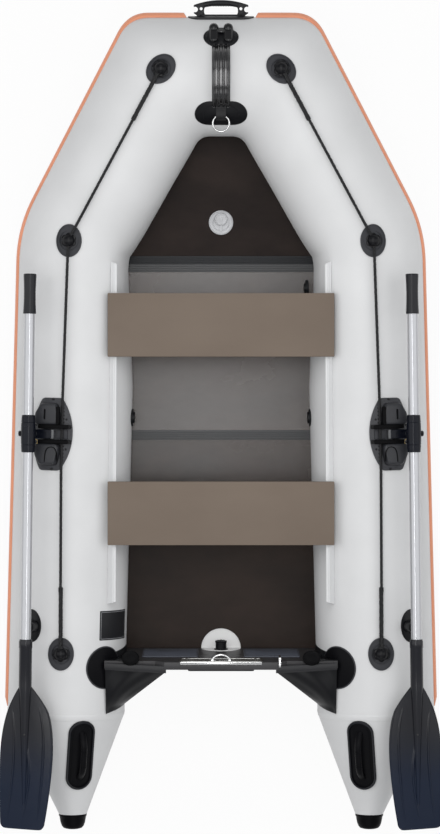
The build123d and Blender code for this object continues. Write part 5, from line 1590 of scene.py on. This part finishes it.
DRAIN_HEIGHT = 0.12
drain_place = transom_inner @ shift(0, up_transom(DRAIN_HEIGHT))
drain_body = turned_shape("drain", [(0.024, -0.001), (0.0242, 0.003), (0.0228, 0.0044), (0.02, 0.0048),
                                    (0.019, 0.006), (0.0186, 0.025), (0.0204, 0.0262), (0.0206, 0.0308),
                                    (0.0192, 0.032), (0.015, 0.0322), (0.0135, 0.0306), (0.003, 0.0304)],
                          fitting_black, drain_place)
drain_wings = [put(cut_plate("wing", round_box(0.0035, 0.012, 0.003), 0.026, 0.0345, fitting_black, 0.001),
                   drain_place @ spin(radians(a), "Z")) for a in (0, 90)]
drain_patch = put(cut_plate("drain_patch", oval_outline(0.069, 0.069, 64), -0.001, 0.0014, sleeve_grey, 0.0005),
                  transom_inner @ shift(0, -0.001))
half_disc = [(0.0695 * cos(a), 0.0695 * sin(a)) for a in [pi * i / 40 for i in range(41)]]
floor_patch = put(cut_plate("floor_patch", half_disc, -0.005, -0.003, sleeve_grey, 0.0006),
                  shift(0, transom_y, FLOOR_TOP))
add_piece("drain_fitting", joined("drain", [drain_body, *drain_wings, drain_patch, floor_patch]), "hull",
          "black_plastic", "drain_valve", smooth_angle=30.0)

# ------------------------------------------------------------------ transom pads
PAD_RADIUS = 0.072
PAD_TOP_RADIUS = PAD_RADIUS - 0.004
PATCH_OUTLINE = cornered([(-0.08, -0.045), (0.06, -0.045), (0.06, 0.012), (-0.08, 0.034)], 0.006)
pad = wrapped(joined("pad", [
    cut_plate("pad", oval_outline(PAD_RADIUS, PAD_RADIUS, 72), -0.004, 0.003, fitting_grey, 0.001),
    cut_plate("pad_top", oval_outline(PAD_TOP_RADIUS, PAD_TOP_RADIUS, 72), 0.002, 0.0046, pad_black, 0.001),
]), 0.008)
corner_patch = wrapped(cut_plate("corner_patch", PATCH_OUTLINE, -0.003, 0.0024, patch_black, 0.0008), 0.008)
both_sides("transom_pad_faces", joined("pads", [
    put(pad, side_place(transom_y - 0.035, radians(-42.5))),
    put(corner_patch, side_place(transom_y, radians(-68.0)))]), "hull", "black_plastic", "transom_pads")

# ------------------------------------------------------------------ gusset flaps from the transom to the tubes
FLAP_STEPS = 28
FLAP_THICKNESS = 0.0022
flap_corners = (Vector((0.184, -0.857, 0.388)), Vector((0.39, -0.848, 0.366)),
                Vector((0.335, -0.985, 0.243)), Vector((0.387, -1.004, 0.346)))


def off_tube(point):
    """The point moved out of the starboard side tube or cone if it lies inside or near it."""
    middle = side_middle(point.y)
    radius = TUBE_RADIUS
    if point.y < SEAM_Y:
        share = (SEAM_Y - point.y) / (SEAM_Y - tip_centre.y)
        middle = seam_centre.lerp(tip_centre, share)
        radius = TUBE_RADIUS + (CAP_RADIUS - TUBE_RADIUS) * share
    away = Vector((point.x - middle.x, 0, point.z - middle.z))
    if away.length < radius + FLAP_THICKNESS:
        away = away.normalized() * (radius + FLAP_THICKNESS)
    return Vector((middle.x + away.x, point.y, middle.z + away.z))


def flap_point(u, v):
    """The flap's surface, slack between its stretched edges; u goes outboard and v away from the transom."""
    top_edge = flap_corners[0].lerp(flap_corners[1], u)
    point = top_edge.lerp(flap_corners[2].lerp(flap_corners[3], u), v)
    sag = 0.01 * sin(pi * v) * sin(pi * min(1.0, u * 0.9 + 0.05))
    fold = (0.0016 * sin(9.0 * u + 3.0 * v) * sin(pi * v)
            + 0.002 * sin(16.0 * (u - 0.6 * v)) * sin(pi * u) * (1 - v))
    point.z += -sag + fold
    return off_tube(point)


shares = [i / FLAP_STEPS for i in range(FLAP_STEPS + 1)]
flap = grid_mesh("flap", [[flap_point(u, v) for u in shares] for v in shares], patch_black, closed_round=False)
flap = baked(flap, ("SOLIDIFY", {"thickness": FLAP_THICKNESS, "offset": 0.0}),
             ("SUBSURF", {"levels": 1, "render_levels": 1}))
for side in ("starboard", "port"):
    flap_mesh = flap if side == "starboard" else mirrored(flap, "flap")
    replaced = ("transom_gussets",) if side == "starboard" else ()
    gusset = add_piece(f"{side}_gusset_flap", flap_mesh, "hull", "black_pvc", *replaced, smooth_angle=60.0)
# The fold along the flap's top edge takes the lighter tuck tone, a painted sheen.
tuck_rings = []
for i in range(25):
    share = i / 24
    middle = flap_corners[0].lerp(flap_corners[1], share) + Vector((0, 0.008, 0.002))
    crease = 1 + 0.18 * sin(11.0 * share) * share
    tuck_rings.append([middle + Vector((0, 0.0122 * cos(a), 0.0034 * crease * sin(a))) for a in angles_round(18)])
both_sides("gusset_folds", grid_mesh("tuck", tuck_rings, tuck_painted_sheen, ENDS), "hull", "black_pvc",
           smooth_angle=50.0)

# ------------------------------------------------------------------ stern handles and end caps
HANDLE_ROLL = radians(-20.0)
HANDLE_SHARE = 0.366
RIDGE_HALF_ROW = 0.028
cone_axis = (tip_centre - seam_centre).normalized()
cone_radius = TUBE_RADIUS + (CAP_RADIUS - TUBE_RADIUS) * HANDLE_SHARE
stern_normal = UP * cos(HANDLE_ROLL) + side_out * sin(HANDLE_ROLL)
stern_lie = (cone_axis - stern_normal * ((TUBE_RADIUS - CAP_RADIUS) / CONE_LENGTH)).normalized()
stern_face = (stern_normal - stern_lie * stern_normal.dot(stern_lie)).normalized()
stern_origin = seam_centre.lerp(tip_centre, HANDLE_SHARE) + stern_normal * cone_radius
stern_place = frame_of(stern_origin, -stern_face.cross(stern_lie), -stern_lie, stern_face)
stern_back = cut_plate("stern_back", slot_outline(0.046, 0.125), -0.014, 0.003, pad_black, 0.0012)
stern_lip = carved(cut_plate("stern_lip", slot_outline(0.046, 0.125), 0.002, 0.0062, grip_black, 0.0018, 3),
                   cut_plate("stern_well", slot_outline(0.0385, 0.1175), 0.0, 0.02, grip_black, 0))
stern_pad = cut_plate("stern_pad", slot_outline(0.03, 0.108), 0.002, 0.0046, pad_black, 0.0014)
handle_back = wrapped(joined("stern_handle", [stern_back, stern_lip, stern_pad]), 0.008, cone_radius)
half_arch = [(-0.082, 0.002), (-0.07, 0.016), (-0.055, 0.03), (-0.035, 0.0365)]
arch = [Vector((0, y, z)) for y, z in half_arch + [(0.0, 0.0385)] + [(-y, z) for y, z in half_arch[::-1]]]
grip_bar = swept("grip_bar", eased(arch, 4), oval_outline(0.011, 0.008, 18), pad_black)
ridge = turned_shape("ridge", [(0.0112, -0.0016), (0.0118, 0.0), (0.0112, 0.0016)], pad_black,
                     spin(pi / 2, "X"), 22)
ridge.transform(Matrix.Diagonal((1.0, 1.0, 0.74, 1.0)))
ridges = row_of("ridges", ridge, (0, -RIDGE_HALF_ROW, 0.0378), (0, RIDGE_HALF_ROW, 0.0378), 8, pad_black)
both_sides("stern_carry_handles", put(joined("stern", [handle_back, grip_bar, ridges]), stern_place), "hull",
           "grip_rubber", "stern_handles")

end_cap = turned_shape("end_cap", [
    (0.047, -0.011), (0.0478, -0.004), (0.047, 0.001), (0.045, 0.004), (0.0438, 0.012), (0.0415, 0.024),
    (0.0375, 0.035), (0.032, 0.0415), (0.024, 0.044), (0.011, 0.0449), (0.003, 0.045),
], cap_black, frame_of(tip_centre, X_DIR, UP, -Y_DIR), 64)
both_sides("stern_cap_ends", end_cap, "hull", "black_plastic", "stern_end_caps", smooth_angle=40.0)

# ------------------------------------------------------------------ nodes that keep their own shape
# The boards' tones hold painted sheen on the fore board and painted shade on the aft and bow boards.
for node, material in {
    "bow_board": bow_film_painted_shade, "fore_floor_board": fore_film_painted_sheen, "middle_floor_board": floor_brown,
    "aft_floor_board": aft_film_painted_shade, "tow_ring": bright_steel, "starboard_oar_shaft": aluminium_shaft,
    "port_oar_shaft": aluminium_shaft,
}.items():
    paint(node, material)


# ------------------------------------------------------------------ floor, light and camera
def white_surface(name, seen):
    """A pale studio surface that the camera and mirrors see as white, and that keeps the shadow."""
    made = Finish(name, (0.82, 0.82, 0.82), 0.9)
    rays = fed(made.tree, "ShaderNodeLightPath").node.outputs
    direct = fed(made.tree, "ShaderNodeMath", {0: rays["Is Camera Ray"], 1: rays["Is Glossy Ray"]},
                 operation="MAXIMUM")
    plain = fed(made.tree, "ShaderNodeMath", {0: direct, 1: rays["Is Transmission Ray"]}, operation="MAXIMUM")
    share = fed(made.tree, "ShaderNodeMath", {0: plain, 1: seen}, operation="MULTIPLY")
    white = fed(made.tree, "ShaderNodeEmission")
    mix = fed(made.tree, "ShaderNodeMixShader", {"Fac": share, 1: made.shader.outputs["BSDF"], 2: white})
    made.tree.links.new(mix, made.tree.nodes["Material Output"].inputs["Surface"])
    return made.material


STUDIO_SIZE = 60
bpy.ops.mesh.primitive_plane_add(size=STUDIO_SIZE, location=(0, 0, -0.0005))
studio_floor = bpy.context.object
studio_floor.name = "studio_floor"
studio_floor.data.materials.append(white_surface("studio_white", 0.93))

world = bpy.data.worlds.new("studio")
bpy.context.scene.world = world
world.use_nodes = True
sky = world.node_tree.nodes["Background"]
sky.inputs["Color"].default_value = (0.965, 0.98, 1.0, 1)
sky.inputs["Strength"].default_value = 0.38

AIM = Vector((0, 0, 0.2))
for name, place, size, energy in (  # metres, metres, watts
        ("port_light", (-2.9, 0.2, 3.1), (3.2, 5.4), 60.0),
        ("starboard_light", (2.9, 0.2, 3.1), (3.2, 5.4), 60.0),
        ("bow_light", (0.0, 3.1, 3.4), (2.6, 1.5), 19.0),
        ("stern_light", (0.0, -3.8, 3.0), (2.6, 1.4), 16.0),
        ("overhead_light", (-0.12, 0.3, 3.6), (0.55, 3.6), 36.0)):
    lamp = bpy.data.lights.new(name, "AREA")
    lamp.shape = "RECTANGLE"
    lamp.size, lamp.size_y = size
    lamp.energy = energy
    light = placed_object(name, lamp)
    light.location = place
    if name != "overhead_light":
        light.rotation_euler = (AIM - Vector(place)).to_track_quat("-Z", "Y").to_euler()

CAMERA_HEIGHT = 8.0
SEEN_LENGTH = 2.8606  # what the view's height shows, at the height of the tubes' middle
SENSOR = 36.0
camera_data = bpy.data.cameras.new("camera")
camera_data.sensor_fit = "VERTICAL"
camera_data.sensor_height = SENSOR
camera_data.lens = SENSOR * (CAMERA_HEIGHT - TUBE_RADIUS) / SEEN_LENGTH
camera_data.clip_end = STUDIO_SIZE
camera = placed_object("camera", camera_data)
camera.location = (-0.0034, -0.0034, CAMERA_HEIGHT)
bpy.context.scene.camera = camera

bpy.context.scene.view_settings.view_transform = "Standard"
